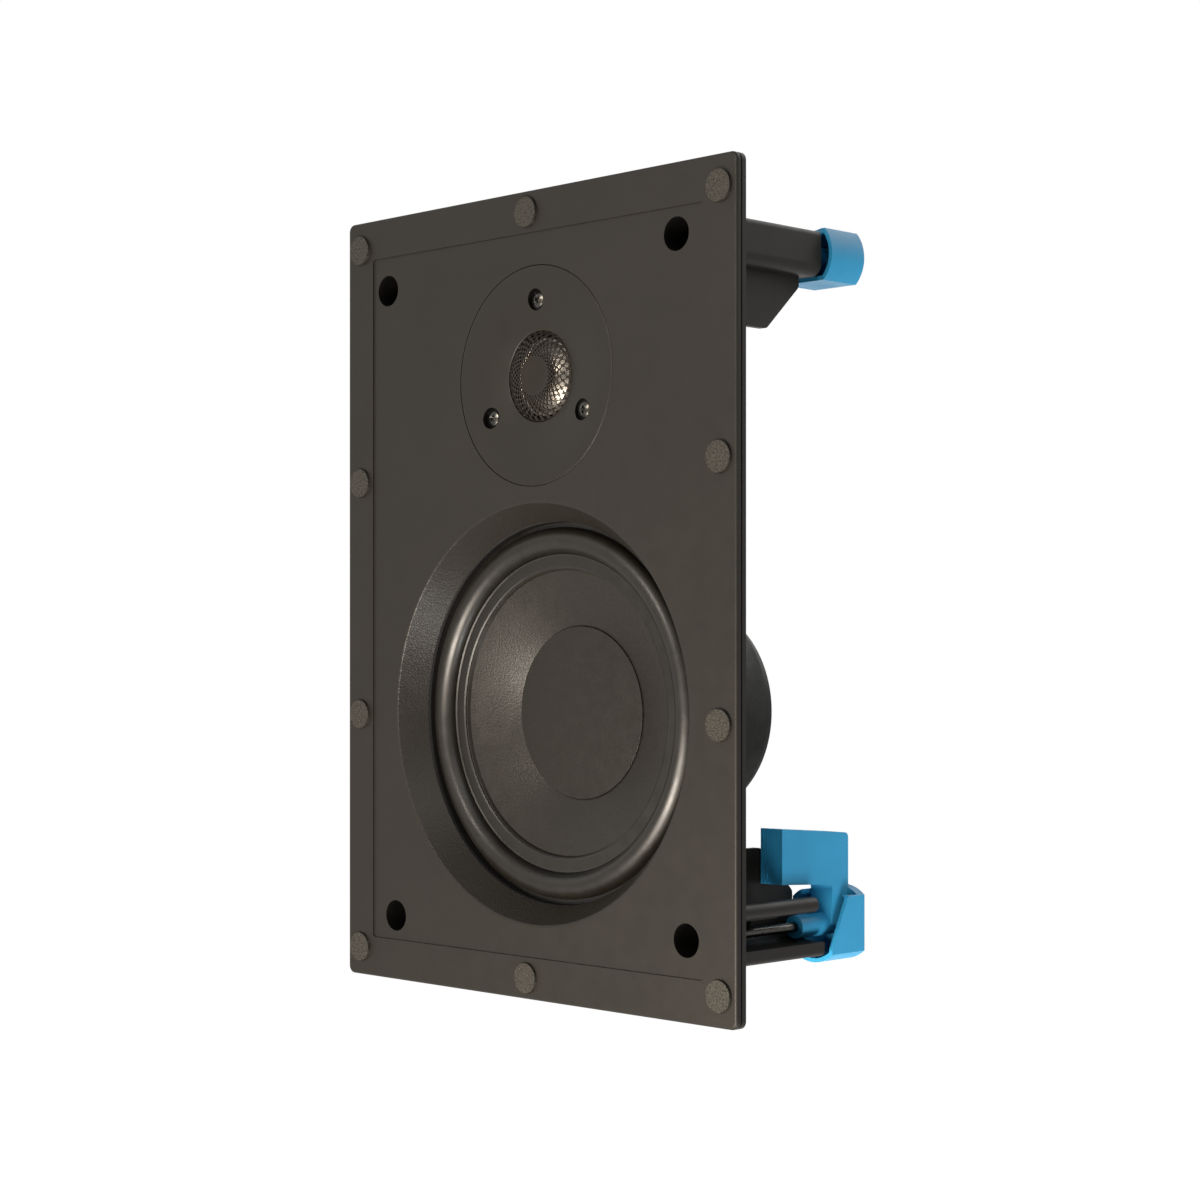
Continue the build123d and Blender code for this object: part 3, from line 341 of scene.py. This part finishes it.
finishes = {
    "baffle_plastic": baffle_finish(),
    "magnet_plating": finish(
        "visual_magnet", (38, 36, 32), 0.5, metallic=0.3, specular=0.18,
        tone=0.7, tone_scale=1300.0, grain=((1500.0, 0.1),),
    ),
    "screw_steel": finish(
        "visual_screw", (64, 62, 59), 0.26, metallic=1.0,
        tone=0.3, tone_scale=900.0, grain=((2600.0, 0.01),),
    ),
    "clamp_plastic": finish(
        "visual_clamp", (46, 131, 172), 0.4, specular=0.18,
        tone=0.05, tone_scale=45.0, grain=((1500.0, 0.012),),
    ),
    "gasket_foam": finish(
        "visual_gasket", (26, 26, 27), 0.95, specular=0.2,
        tone=0.3, tone_scale=1500.0, grain=((1800.0, 0.15),),
    ),
    "basket_steel": finish(
        "visual_basket", (14, 14, 14), 0.42, specular=0.18,
        tone=0.1, grain=((1400.0, 0.03),),
    ),
    "surround_rubber": finish(
        "visual_rubber", (13, 11, 8), 0.38, specular=0.27,
        tone=0.08, tone_scale=60.0, grain=((1600.0, 0.006),),
    ),
    "cone_fibre": finish(
        "visual_cone", (21, 19, 16), 0.39, specular=0.17,
        tone=0.2, tone_scale=1500.0, grain=((1500.0, 0.1), (700.0, 0.04)),
    ),
    "coil_copper": finish(
        "visual_copper", (184, 104, 58), 0.3, metallic=0.9,
        tone=0.15, grain=((3500.0, 0.02),), stretch=(0.05, 1.0, 0.05),
    ),
    "spider_cloth": finish(
        "visual_spider", (176, 132, 74), 0.85, specular=0.2,
        tone=0.2, tone_scale=1200.0, grain=((2200.0, 0.1),), sheen=0.2,
    ),
    "plate_steel": finish(
        "visual_plate", (20, 19, 18), 0.4, specular=0.18,
        tone=0.1, tone_scale=90.0, grain=((1200.0, 0.01),),
    ),
    "ferrite": finish(
        "visual_ferrite", (28, 27, 26), 0.62, specular=0.18,
        tone=0.2, tone_scale=700.0, grain=((1300.0, 0.05),),
    ),
    "face_plastic": face_finish(),
    "lens_metal": finish(
        "visual_lens", (25, 22, 19), 0.4, metallic=0.1, specular=0.11,
        tone=0.08, grain=((2000.0, 0.004),),
    ),
    "dome_silk": finish(
        "visual_dome", (122, 117, 110), 0.36, metallic=1.0,
        tone=0.05, grain=((1500.0, 0.004),),
    ),
    "chamber_plastic": finish(
        "visual_chamber", (28, 28, 29), 0.5,
        tone=0.1, grain=((1300.0, 0.03),),
    ),
    "board_laminate": finish(
        "visual_board", (24, 78, 46), 0.42,
        tone=0.12, tone_scale=300.0, grain=((1500.0, 0.03),), coat=0.2,
    ),
    "capacitor_sleeve": finish(
        "visual_capacitor", (168, 42, 34), 0.35,
        tone=0.08, grain=((900.0, 0.02),),
    ),
    "resistor_ceramic": finish(
        "visual_resistor", (206, 200, 186), 0.75,
        tone=0.08, tone_scale=600.0, grain=((900.0, 0.06),),
    ),
    "terminal_plastic": finish(
        "visual_terminal", (26, 26, 27), 0.45,
        tone=0.1, grain=((1400.0, 0.03),),
    ),
    "button_red": finish(
        "visual_button", (170, 22, 20), 0.35,
        tone=0.06, grain=((1400.0, 0.02),),
    ),
}
for node in nodes.values():
    for index, material in enumerate(node.data.materials):
        if material.name in finishes:
            node.data.materials[index] = finishes[material.name]


# Piece and mesh helpers
RECESS_SIDES = 64


def new_piece(name, mesh, slot, body, replaced):
    """Adds a piece with its finish, which rides on its body and stands for a node."""
    piece = bpy.data.objects.new(name, mesh)
    bpy.context.scene.collection.objects.link(piece)
    mesh.materials.append(finishes[slot])
    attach(piece, body)
    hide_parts(replaced)
    return piece


def applied(piece):
    """Bakes a piece's modifiers into its mesh."""
    graph = bpy.context.evaluated_depsgraph_get()
    mesh = bpy.data.meshes.new_from_object(piece.evaluated_get(graph))
    piece.modifiers.clear()
    piece.data = mesh


def smooth(mesh, angle):
    """Smooth shading, with edges sharper than an angle left sharp."""
    mesh.shade_smooth()
    mesh.set_sharp_from_angle(angle=radians(angle))


def node_middle(name):
    """Middle of a node's box seen from the front, in millimetres."""
    low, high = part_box(name)
    return (low.x + high.x) / 2 / MM, (low.z + high.z) / 2 / MM


def turned_point(x, z, radius, angle, depth):
    """Place in metres at a radius and an angle about a line along Y."""
    return (x + radius * cos(angle)) * MM, depth * MM, (z + radius * sin(angle)) * MM


def mesh_data(mesh, name):
    """Mesh data of a bmesh, with its faces turned outwards. The bmesh is used up."""
    bmesh.ops.recalc_face_normals(mesh, faces=mesh.faces)
    data = bpy.data.meshes.new(name)
    mesh.to_mesh(data)
    mesh.free()
    return data


def circle_through(first, second, third):
    """Middle and radius of the circle through three points."""
    (ax, ay), (bx, by), (cx, cy) = first, second, third
    d = 2 * (ax * (by - cy) + bx * (cy - ay) + cx * (ay - by))
    a2, b2, c2 = ax**2 + ay**2, bx**2 + by**2, cx**2 + cy**2
    mx = (a2 * (by - cy) + b2 * (cy - ay) + c2 * (ay - by)) / d
    my = (a2 * (cx - bx) + b2 * (ax - cx) + c2 * (bx - ax)) / d
    return mx, my, hypot(ax - mx, ay - my)


def arc_points(first, second, third, steps):
    """Points on the arc through three points, with as many steps in each half."""
    mx, my, size = circle_through(first, second, third)
    ends = [atan2(y - my, x - mx) for x, y in (first, second, third)]
    points = []
    for start, end in zip(ends, ends[1:]):
        sweep = (end - start + pi) % (2 * pi) - pi
        for n in range(steps):
            angle = start + sweep * n / steps
            points.append((mx + size * cos(angle), my + size * sin(angle)))
    return points + [third]


def lathe(name, profile, x, z, turns, closed=False):
    """Mesh of a profile of radius against depth, turned round a line along Y. closed joins its ends."""
    mesh = bmesh.new()
    rings = []
    for radius, depth in profile:
        angles = [2 * pi * n / turns for n in range(turns)] if radius else [0]
        rings.append([mesh.verts.new(turned_point(x, z, radius, angle, depth)) for angle in angles])
    pairs = list(zip(rings, rings[1:]))
    if closed:
        pairs.append((rings[-1], rings[0]))
    for a, b in pairs:
        for n in range(turns):
            m = (n + 1) % turns
            corners = [a[n % len(a)], a[m % len(a)], b[m % len(b)], b[n % len(b)]]
            corners = [c for k, c in enumerate(corners) if c not in corners[:k]]
            if len(corners) > 2:
                mesh.faces.new(corners)
    return mesh_data(mesh, name)


def add_prism(mesh, near, far):
    """Adds the closed body between two rings of places with as many corners."""
    near = [mesh.verts.new(place) for place in near]
    far = [mesh.verts.new(place) for place in far]
    mesh.faces.new(near)
    mesh.faces.new(far)
    for n in range(len(near)):
        m = (n + 1) % len(near)
        mesh.faces.new((near[n], near[m], far[m], far[n]))


def cut_away(piece, cutter):
    """Takes the closed bodies of a bmesh out of a piece."""
    tool = bpy.data.objects.new("cutter", mesh_data(cutter, "cutter"))
    bpy.context.scene.collection.objects.link(tool)
    boolean = piece.modifiers.new("cut", "BOOLEAN")
    boolean.object = tool
    boolean.operation = "DIFFERENCE"
    boolean.solver = "EXACT"
    boolean.use_self = True
    bpy.context.view_layer.update()
    applied(piece)
    bpy.data.objects.remove(tool)


# Tweeter lens: a bulged sheet with staggered rows of round holes that grow outwards, round a plain centre
LENS_RADIUS = 17.2
LENS_DISC_RADIUS = 7.1
LENS_DISC_RINGS = (5.0, 2.5)
LENS_CROWN = -4.2
LENS_RIM = -0.8
LENS_BULGE = 1.45
LENS_COLUMNS = 32
LENS_ROWS = 8
LENS_FIRST_ROW = 8.0
LENS_LAST_ROW = 16.1
LENS_SHEET = 0.5
HOLE_INNER_SHARE = 0.52
HOLE_OUTER_SHARE = 0.66
SIDE_STEPS = 4

lens_arc = circle_through(
    (LENS_DISC_RADIUS, LENS_CROWN),
    ((LENS_DISC_RADIUS + LENS_RADIUS) / 2, (LENS_CROWN + LENS_RIM) / 2 - LENS_BULGE),
    (LENS_RADIUS, LENS_RIM),
)


def lens_depth(radius):
    """Depth of the lens's front at a radius."""
    if radius <= LENS_DISC_RADIUS:
        return LENS_CROWN
    mx, my, size = lens_arc
    return my - sqrt(size**2 - (radius - mx) ** 2)


def make_lens():
    """Each hole has a four-sided cell, with its corners midway between holes of its row and the next rows."""
    growth = (LENS_LAST_ROW / LENS_FIRST_ROW) ** (1 / (LENS_ROWS - 1))
    rows = [LENS_FIRST_ROW * growth ** (n - 1) for n in range(LENS_ROWS + 2)]
    step = 2 * pi / LENS_COLUMNS
    mesh = bmesh.new()
    made = {}

    def vertex(radius, angle):
        key = (round(radius, 4), round(angle % (2 * pi), 5) % round(2 * pi, 5))
        if key not in made:
            place = turned_point(DRIVER_X, TWEETER_Z, radius, angle, lens_depth(radius))
            made[key] = mesh.verts.new(place)
        return made[key]

    def face(*corners):
        if len(set(corners)) > 2:
            mesh.faces.new([c for n, c in enumerate(corners) if c not in corners[:n]])

    for row in range(1, LENS_ROWS + 1):
        share = (row - 1) / (LENS_ROWS - 1)
        hole = (HOLE_INNER_SHARE + (HOLE_OUTER_SHARE - HOLE_INNER_SHARE) * share) * rows[row] * step / 2
        for column in range(LENS_COLUMNS):
            middle = step * (column + row % 2 / 2)
            corners = [
                (rows[row], middle + step / 2),
                (rows[row + 1], middle),
                (rows[row], middle - step / 2),
                (rows[row - 1], middle),
            ]
            outside, inside = [], []
            for n in range(4):
                (r0, a0), (r1, a1) = corners[n], corners[(n + 1) % 4]
                for k in range(SIDE_STEPS):
                    t = k / SIDE_STEPS
                    outside.append((r0 + (r1 - r0) * t, a0 + (a1 - a0) * t))
                    turn = pi / 2 * (n + t)
                    inside.append((rows[row] + hole * sin(turn), middle + hole * cos(turn) / rows[row]))
            for n in range(4 * SIDE_STEPS):
                m = (n + 1) % (4 * SIDE_STEPS)
                face(vertex(*outside[n]), vertex(*outside[m]), vertex(*inside[m]), vertex(*inside[n]))

    # Plain bands that close the rows against the centre disc and the rim
    for row, other, edge in ((1, 0, LENS_DISC_RADIUS), (LENS_ROWS, LENS_ROWS + 1, LENS_RADIUS)):
        zigzag = []
        for column in range(2 * LENS_COLUMNS):
            start = step * (row % 2 / 2) + column * step / 2
            r0, r1 = (rows[other], rows[row]) if column % 2 == 0 else (rows[row], rows[other])
            for k in range(SIDE_STEPS):
                t = k / SIDE_STEPS
                zigzag.append((r0 + (r1 - r0) * t, start + step / 2 * t))
        for n in range(len(zigzag)):
            p, q = zigzag[n], zigzag[(n + 1) % len(zigzag)]
            face(vertex(*p), vertex(*q), vertex(edge, q[1]), vertex(edge, p[1]))

    # Centre disc
    rim = [v for key, v in sorted(made.items(), key=lambda item: item[0][1]) if key[0] == LENS_DISC_RADIUS]
    for radius in LENS_DISC_RINGS:
        inner = []
        for v in rim:
            angle = atan2(v.co.z / MM - TWEETER_Z, v.co.x / MM - DRIVER_X)
            inner.append(mesh.verts.new(turned_point(DRIVER_X, TWEETER_Z, radius, angle, LENS_CROWN)))
        for n in range(len(rim)):
            m = (n + 1) % len(rim)
            mesh.faces.new((rim[n], rim[m], inner[m], inner[n]))
        rim = inner
    mesh.faces.new(rim)

    data = mesh_data(mesh, "tweeter_lens_perforated")
    piece = new_piece("tweeter_lens_perforated", data, "lens_metal", "frame", "tweeter_lens")
    towards_rear = sum(polygon.normal.y * polygon.area for polygon in data.polygons)
    sheet = piece.modifiers.new("sheet", "SOLIDIFY")
    sheet.thickness = LENS_SHEET * MM
    sheet.offset = -1 if towards_rear < 0 else 1
    applied(piece)
    smooth(piece.data, angle=40)


make_lens()


# Woofer front: surround, cone and dust cap, turned about the woofer's axis, as radius and depth
WOOFER_TURNS = 192
SURROUND_BASE = 10.3
SURROUND_INNER_RADIUS = 56.2
SURROUND_OUTER_RADIUS = 73.8
SURROUND_BEVEL = (0.65, 0.34)
LIP_RADII = (60.9, 61.5, 61.75)
LIP_HEIGHTS = (0.0, 0.3, 0.05)
ROLL_RADIUS = 67.0
ROLL_HEIGHT = 5.0
ROLL_FRONT_HALF_WIDTH = 5.0
ROLL_BACK_HALF_WIDTH = 4.2
ROLL_FRONT_STEPS = 16
ROLL_BACK_STEPS = 12
CONE_FRONT = 11.1
CONE_SHEET = 1.1
CONE_RIM_RADIUS = 61.0
CONE_STEP_FRONT_RADIUS = 55.85
CONE_STEP_BACK_RADIUS = 56.0
CONE_STEP_DEPTH = 0.12
CONE_NECK_RADIUS = 16.1
CONE_NECK_DEPTH = 33.1
CONE_STEPS = 12
CAP_RADIUS = 33.7
CAP_EDGE = 21.0
CAP_SHEET = 0.7
CAP_CROWN = 1.0
CAP_EDGE_ROUND = 0.15
CAP_EDGE_DROP = 0.01
CAP_STEPS = 14
CONE_CURVE = ((55.3, 12.5), (44.5, 16.41), (CAP_RADIUS, CAP_EDGE))


def roll_arc(half_width, base, steps):
    """Half roll from its inner to its outer foot."""
    inner_foot = (ROLL_RADIUS - half_width, base)
    crest = (ROLL_RADIUS, base - ROLL_HEIGHT)
    outer_foot = (ROLL_RADIUS + half_width, base)
    return arc_points(inner_foot, crest, outer_foot, steps)


def surround_profile():
    """A bevelled rim on the cone, a fine lip, the half roll and a flat outer rim."""
    bevel_width, bevel_drop = SURROUND_BEVEL
    profile = [
        (SURROUND_INNER_RADIUS, CONE_FRONT),
        (SURROUND_INNER_RADIUS, SURROUND_BASE + bevel_drop),
        (SURROUND_INNER_RADIUS + bevel_width, SURROUND_BASE),
    ]
    profile += [(radius, SURROUND_BASE - height) for radius, height in zip(LIP_RADII, LIP_HEIGHTS)]
    profile += roll_arc(ROLL_FRONT_HALF_WIDTH, SURROUND_BASE, ROLL_FRONT_STEPS)
    profile += [(SURROUND_OUTER_RADIUS, SURROUND_BASE), (SURROUND_OUTER_RADIUS, CONE_FRONT)]
    return profile + roll_arc(ROLL_BACK_HALF_WIDTH, CONE_FRONT, ROLL_BACK_STEPS)[::-1]


def cone_profile():
    """A flat rim, a small step and a curved flank that runs on behind the cap to the neck."""
    curve = arc_points(*CONE_CURVE, CONE_STEPS)
    back_curve = arc_points(*CONE_CURVE[::-1], CONE_STEPS)
    profile = [
        (CONE_RIM_RADIUS, CONE_FRONT),
        (SURROUND_INNER_RADIUS, CONE_FRONT),
        (CONE_STEP_FRONT_RADIUS, CONE_FRONT + CONE_STEP_DEPTH),
    ]
    profile += curve + [(CONE_NECK_RADIUS, CONE_NECK_DEPTH), (CONE_NECK_RADIUS, CONE_NECK_DEPTH + CONE_SHEET)]
    profile += [(radius, depth + CONE_SHEET) for radius, depth in back_curve]
    profile.append((CONE_STEP_BACK_RADIUS, CONE_FRONT + CONE_SHEET))
    return profile + [(CONE_RIM_RADIUS, CONE_FRONT + CONE_SHEET)]


def crown(radius, edge, middle):
    """Points of a shallow dome from its middle out to its edge."""
    arc = arc_points((-radius, edge), (0.0, middle), (radius, edge), CAP_STEPS)
    return [(0, middle)] + arc[CAP_STEPS + 1:]


def cap_profile():
    """A shallow dome with a rounded edge, seated on the cone."""
    front = CAP_EDGE - CAP_SHEET
    profile = crown(CAP_RADIUS - CAP_EDGE_ROUND, front + CAP_EDGE_DROP, front - CAP_CROWN)
    profile.append((CAP_RADIUS, front + CAP_EDGE_ROUND))
    return profile + crown(CAP_RADIUS, CAP_EDGE, CAP_EDGE - CAP_CROWN)[::-1]


for node_name, profile, slot, body, closed in (
    ("woofer_surround", surround_profile(), "surround_rubber", "frame", True),
    ("woofer_cone", cone_profile(), "cone_fibre", "woofer_motion", True),
    ("woofer_dust_cap", cap_profile(), "cone_fibre", "woofer_motion", False),
):
    piece_name = node_name + "_turned"
    turned = lathe(piece_name, profile, DRIVER_X, WOOFER_Z, WOOFER_TURNS, closed=closed)
    new_piece(piece_name, turned, slot, body, node_name)
    smooth(turned, angle=24)


# Tweeter face plate: a shallow dish that runs down to the lens, with sunk screw seats
FACE_TURNS = 192
FACE_RADIUS = 42.15
FACE_BACK = -0.4
FACE_LEDGE_RADIUS = 15.8
FACE_RING_RADIUS = 20.0
DOME_BASE = 2.0
DISH_RADIUS = 41.4
DISH_DROP = 3.1
DISH_POWER = 2.0
DISH_STEPS = 36
LENS_SEAT_RADIUS = 17.4
LENS_SEAT_DEPTH = -0.25
CUTTER_REACH = 2.0

# Round of the dish's inner edge: steps outwards and into the wall, from its corner
DISH_INNER_ROUND = ((0.0, 0.3), (0.09, 0.09), (0.3, -0.08))
# Round of the plate's front edge: steps inwards and into the wall, from its corner
FACE_OUTER_ROUND = ((0.22, 0.03), (0.06, 0.14), (0.0, 0.35))


def make_face_plate():
    """The dish is turned, and the screw recesses are cut out of it."""
    dish_floor = PANEL_FRONT + DISH_DROP
    profile = [(LENS_SEAT_RADIUS, LENS_SEAT_DEPTH)]
    profile += [(LENS_SEAT_RADIUS + across, dish_floor + down) for across, down in DISH_INNER_ROUND]
    for n in range(1, DISH_STEPS + 1):
        share = 1 - n / DISH_STEPS
        radius = DISH_RADIUS - (DISH_RADIUS - LENS_SEAT_RADIUS) * share
        profile.append((radius, PANEL_FRONT + DISH_DROP * share**DISH_POWER))
    profile += [(FACE_RADIUS - across, PANEL_FRONT + down) for across, down in FACE_OUTER_ROUND]
    profile += [
        (FACE_RADIUS, FACE_BACK),
        (FACE_RING_RADIUS, FACE_BACK),
        (FACE_RING_RADIUS, DOME_BASE),
        (FACE_LEDGE_RADIUS, DOME_BASE),
        (FACE_LEDGE_RADIUS, LENS_SEAT_DEPTH),
    ]
    data = lathe("tweeter_face_dish", profile, DRIVER_X, TWEETER_Z, FACE_TURNS, closed=True)
    piece = new_piece("tweeter_face_dish", data, "face_plastic", "frame", "tweeter_face_plate")
    cutter = bmesh.new()
    angles = [2 * pi * n / RECESS_SIDES for n in range(RECESS_SIDES)]
    for x, z in screw_places:
        seat, mouth = (
            [turned_point(x, z, SCREW_RECESS_RADIUS, angle, depth) for angle in angles]
            for depth in (SCREW_SEAT, PANEL_FRONT - CUTTER_REACH)
        )
        add_prism(cutter, seat, mouth)
    cut_away(piece, cutter)
    smooth(piece.data, angle=32)


make_face_plate()


# Phillips screws: a domed head with a tapered cross recess, in shares of the head's radius and height
SCREW_TURNS = 64
HEAD_STEPS = 10
HEAD_EDGE_SHARE = 0.5
HEAD_CHAMFER = 0.15
CROSS_ARM_SHARE = 0.62
CROSS_WIDTH_SHARE = 0.17
CROSS_DEPTH_SHARE = 0.75
CROSS_MOUTH_TAPER = (1.1, 1.15)
CROSS_FLOOR_TAPER = (0.35, 0.6)
CROSS_REACH = 0.5
TWEETER_SCREW = {"shaft": 1.5, "head": 2.95, "height": 1.5, "length": 5.8}
WOOFER_SCREW = {"shaft": 1.75, "head": 3.4, "height": 2.2, "length": 7.5}
BOARD_SCREW = {"shaft": 1.3, "head": 2.6, "height": 1.6, "length": 6.5}


def phillips(name, x, z, seat, way, turn, shaft, head, height, length):
    """A pan-head screw with a cross recess. way is -1 for a head that faces the front and 1 for the rear."""
    edge = height * HEAD_EDGE_SHARE
    sphere = (head**2 + (height - edge) ** 2) / (2 * (height - edge))
    profile = []
    for n in range(HEAD_STEPS + 1):
        radius = head * n / HEAD_STEPS
        profile.append((radius, seat + way * (height - sphere + sqrt(sphere**2 - radius**2))))
    profile += [
        (head, seat + way * HEAD_CHAMFER),
        (head - HEAD_CHAMFER, seat),
        (shaft, seat),
        (shaft, seat - way * (length - shaft)),
        (0, seat - way * length),
    ]
    data = lathe(name, profile, x, z, SCREW_TURNS)
    piece = new_piece(name + "_phillips", data, "screw_steel", "frame", name)
    cutter = bmesh.new()
    floor_height = height - height * CROSS_DEPTH_SHARE
    levels = ((height + CROSS_REACH, CROSS_MOUTH_TAPER), (floor_height, CROSS_FLOOR_TAPER))
    for angle in (turn, turn + pi / 2):
        rings = []
        for level, (arm_taper, width_taper) in levels:
            arm = head * CROSS_ARM_SHARE * arm_taper
            width = head * CROSS_WIDTH_SHARE * width_taper
            ring = []
            for along, across in ((-arm, -width), (arm, -width), (arm, width), (-arm, width)):
                place_x = x + along * cos(angle) - across * sin(angle)
                place_z = z + along * sin(angle) + across * cos(angle)
                ring.append((place_x * MM, (seat + way * level) * MM, place_z * MM))
            rings.append(ring)
        add_prism(cutter, *rings)
    cut_away(piece, cutter)
    smooth(piece.data, angle=35)


for n in range(1, 4):
    place = screw_places[n - 1]
    phillips(f"tweeter_screw_{n}", *place, SCREW_SEAT, -1, 0.5 * n, **TWEETER_SCREW)
for n in range(1, 5):
    place = node_middle(f"woofer_screw_{n}")
    phillips(f"woofer_screw_{n}", *place, BASKET_RIM_REAR, 1, 0.4 * n, **WOOFER_SCREW)
for n in range(1, 3):
    place = node_middle(f"board_screw_{n}")
    phillips(f"board_screw_{n}", *place, BOARD_BACK, 1, 0.7 * n, **BOARD_SCREW)


# Floor and world: white to the camera and in reflections, with little light of their own on the object
FLOOR_HALF = 12.0
FLOOR_HEIGHT = -1.25
FLOOR_TONE = 0.85
FLOOR_GLOW = 0.87
AMBIENT = 0.17
WHITE = (1, 1, 1, 1)


def seen_as_backdrop(tree):
    """1 for the rays that see the backdrop: from the camera, off a gloss or through glass."""
    path = add_node(tree, "ShaderNodeLightPath")
    seen = calculate(tree, "MAXIMUM", path.outputs["Is Camera Ray"], path.outputs["Is Glossy Ray"])
    return calculate(tree, "MAXIMUM", seen, path.outputs["Is Transmission Ray"])


def choose_shader(tree, factor, first, second):
    """One shader or the other by a factor."""
    choose = add_node(tree, "ShaderNodeMixShader")
    join(tree, factor, choose.inputs["Fac"])
    join(tree, first.outputs[0], choose.inputs[1])
    join(tree, second.outputs[0], choose.inputs[2])
    return choose.outputs[0]


def make_floor():
    """A wide sheet of paper that keeps the object's shadow and glows for the camera."""
    half, height = FLOOR_HALF, FLOOR_HEIGHT
    corners = [(-half, -half, height), (half, -half, height), (half, half, height), (-half, half, height)]
    data = bpy.data.meshes.new("floor")
    data.from_pydata(corners, [], [(0, 1, 2, 3)])
    floor = bpy.data.objects.new("floor", data)
    bpy.context.scene.collection.objects.link(floor)
    material, tree = new_material("floor_paper")
    output = add_node(tree, "ShaderNodeOutputMaterial")
    paper = (FLOOR_TONE, FLOOR_TONE, FLOOR_TONE, 1)
    diffuse = add_node(tree, "ShaderNodeBsdfDiffuse", inputs={"Color": paper})
    black = add_node(tree, "ShaderNodeEmission", inputs={"Color": (0, 0, 0, 1), "Strength": 0.0})
    glow = add_node(tree, "ShaderNodeEmission", inputs={"Color": WHITE, "Strength": FLOOR_GLOW})
    total = add_node(tree, "ShaderNodeAddShader")
    join(tree, diffuse.outputs[0], total.inputs[0])
    join(tree, choose_shader(tree, seen_as_backdrop(tree), black, glow), total.inputs[1])
    join(tree, total.outputs[0], output.inputs["Surface"])
    data.materials.append(material)


def make_world():
    """White for the camera and reflections, and a dim even light on the object."""
    world = bpy.data.worlds.new("studio")
    bpy.context.scene.world = world
    world.use_nodes = True
    tree = world.node_tree
    tree.nodes.clear()
    output = add_node(tree, "ShaderNodeOutputWorld")
    ambient = add_node(tree, "ShaderNodeBackground", inputs={"Color": WHITE, "Strength": AMBIENT})
    white = add_node(tree, "ShaderNodeBackground", inputs={"Color": WHITE, "Strength": 1.0})
    join(tree, choose_shader(tree, seen_as_backdrop(tree), ambient, white), output.inputs["Surface"])


make_floor()
make_world()


# Lamps
NEUTRAL = (1.0, 0.99, 0.97)
WARM = (1.0, 0.9, 0.78)
LAMP_TARGET = Vector((0, 0.02, 0))


def lamp(name, azimuth, elevation, distance, size, power, colour=NEUTRAL):
    """Soft box aimed at the speaker. Azimuth 0 is the front and turns to the right."""
    data = bpy.data.lights.new(name, "AREA")
    data.shape = "RECTANGLE"
    data.size, data.size_y = size
    data.energy = power
    data.color = colour
    light = bpy.data.objects.new(name, data)
    a, e = radians(azimuth), radians(elevation)
    away = Vector((sin(a) * cos(e), -cos(a) * cos(e), sin(e)))
    light.location = LAMP_TARGET + away * distance
    light.rotation_euler = away.to_track_quat("Z", "Y").to_euler()
    light.visible_camera = False
    bpy.context.scene.collection.objects.link(light)


lamp("low_right", 75, -51, 1.1, (0.35, 0.35), 11.0)
lamp("front_low", 2, -25, 0.7, (0.2, 0.2), 6.5, WARM)
lamp("flare_low", 17, -31, 0.7, (0.24, 0.24), 12.0, WARM)
lamp("front_high", -2, 26, 0.7, (0.16, 0.16), 3.0, WARM)
lamp("upper_right", 55, 42, 1.3, (0.9, 0.6), 5.0)
lamp("left_fill", -60, 25, 1.5, (0.9, 0.9), 1.4)
lamp("rear", 170, 30, 1.6, (1.2, 1.0), 12.0)
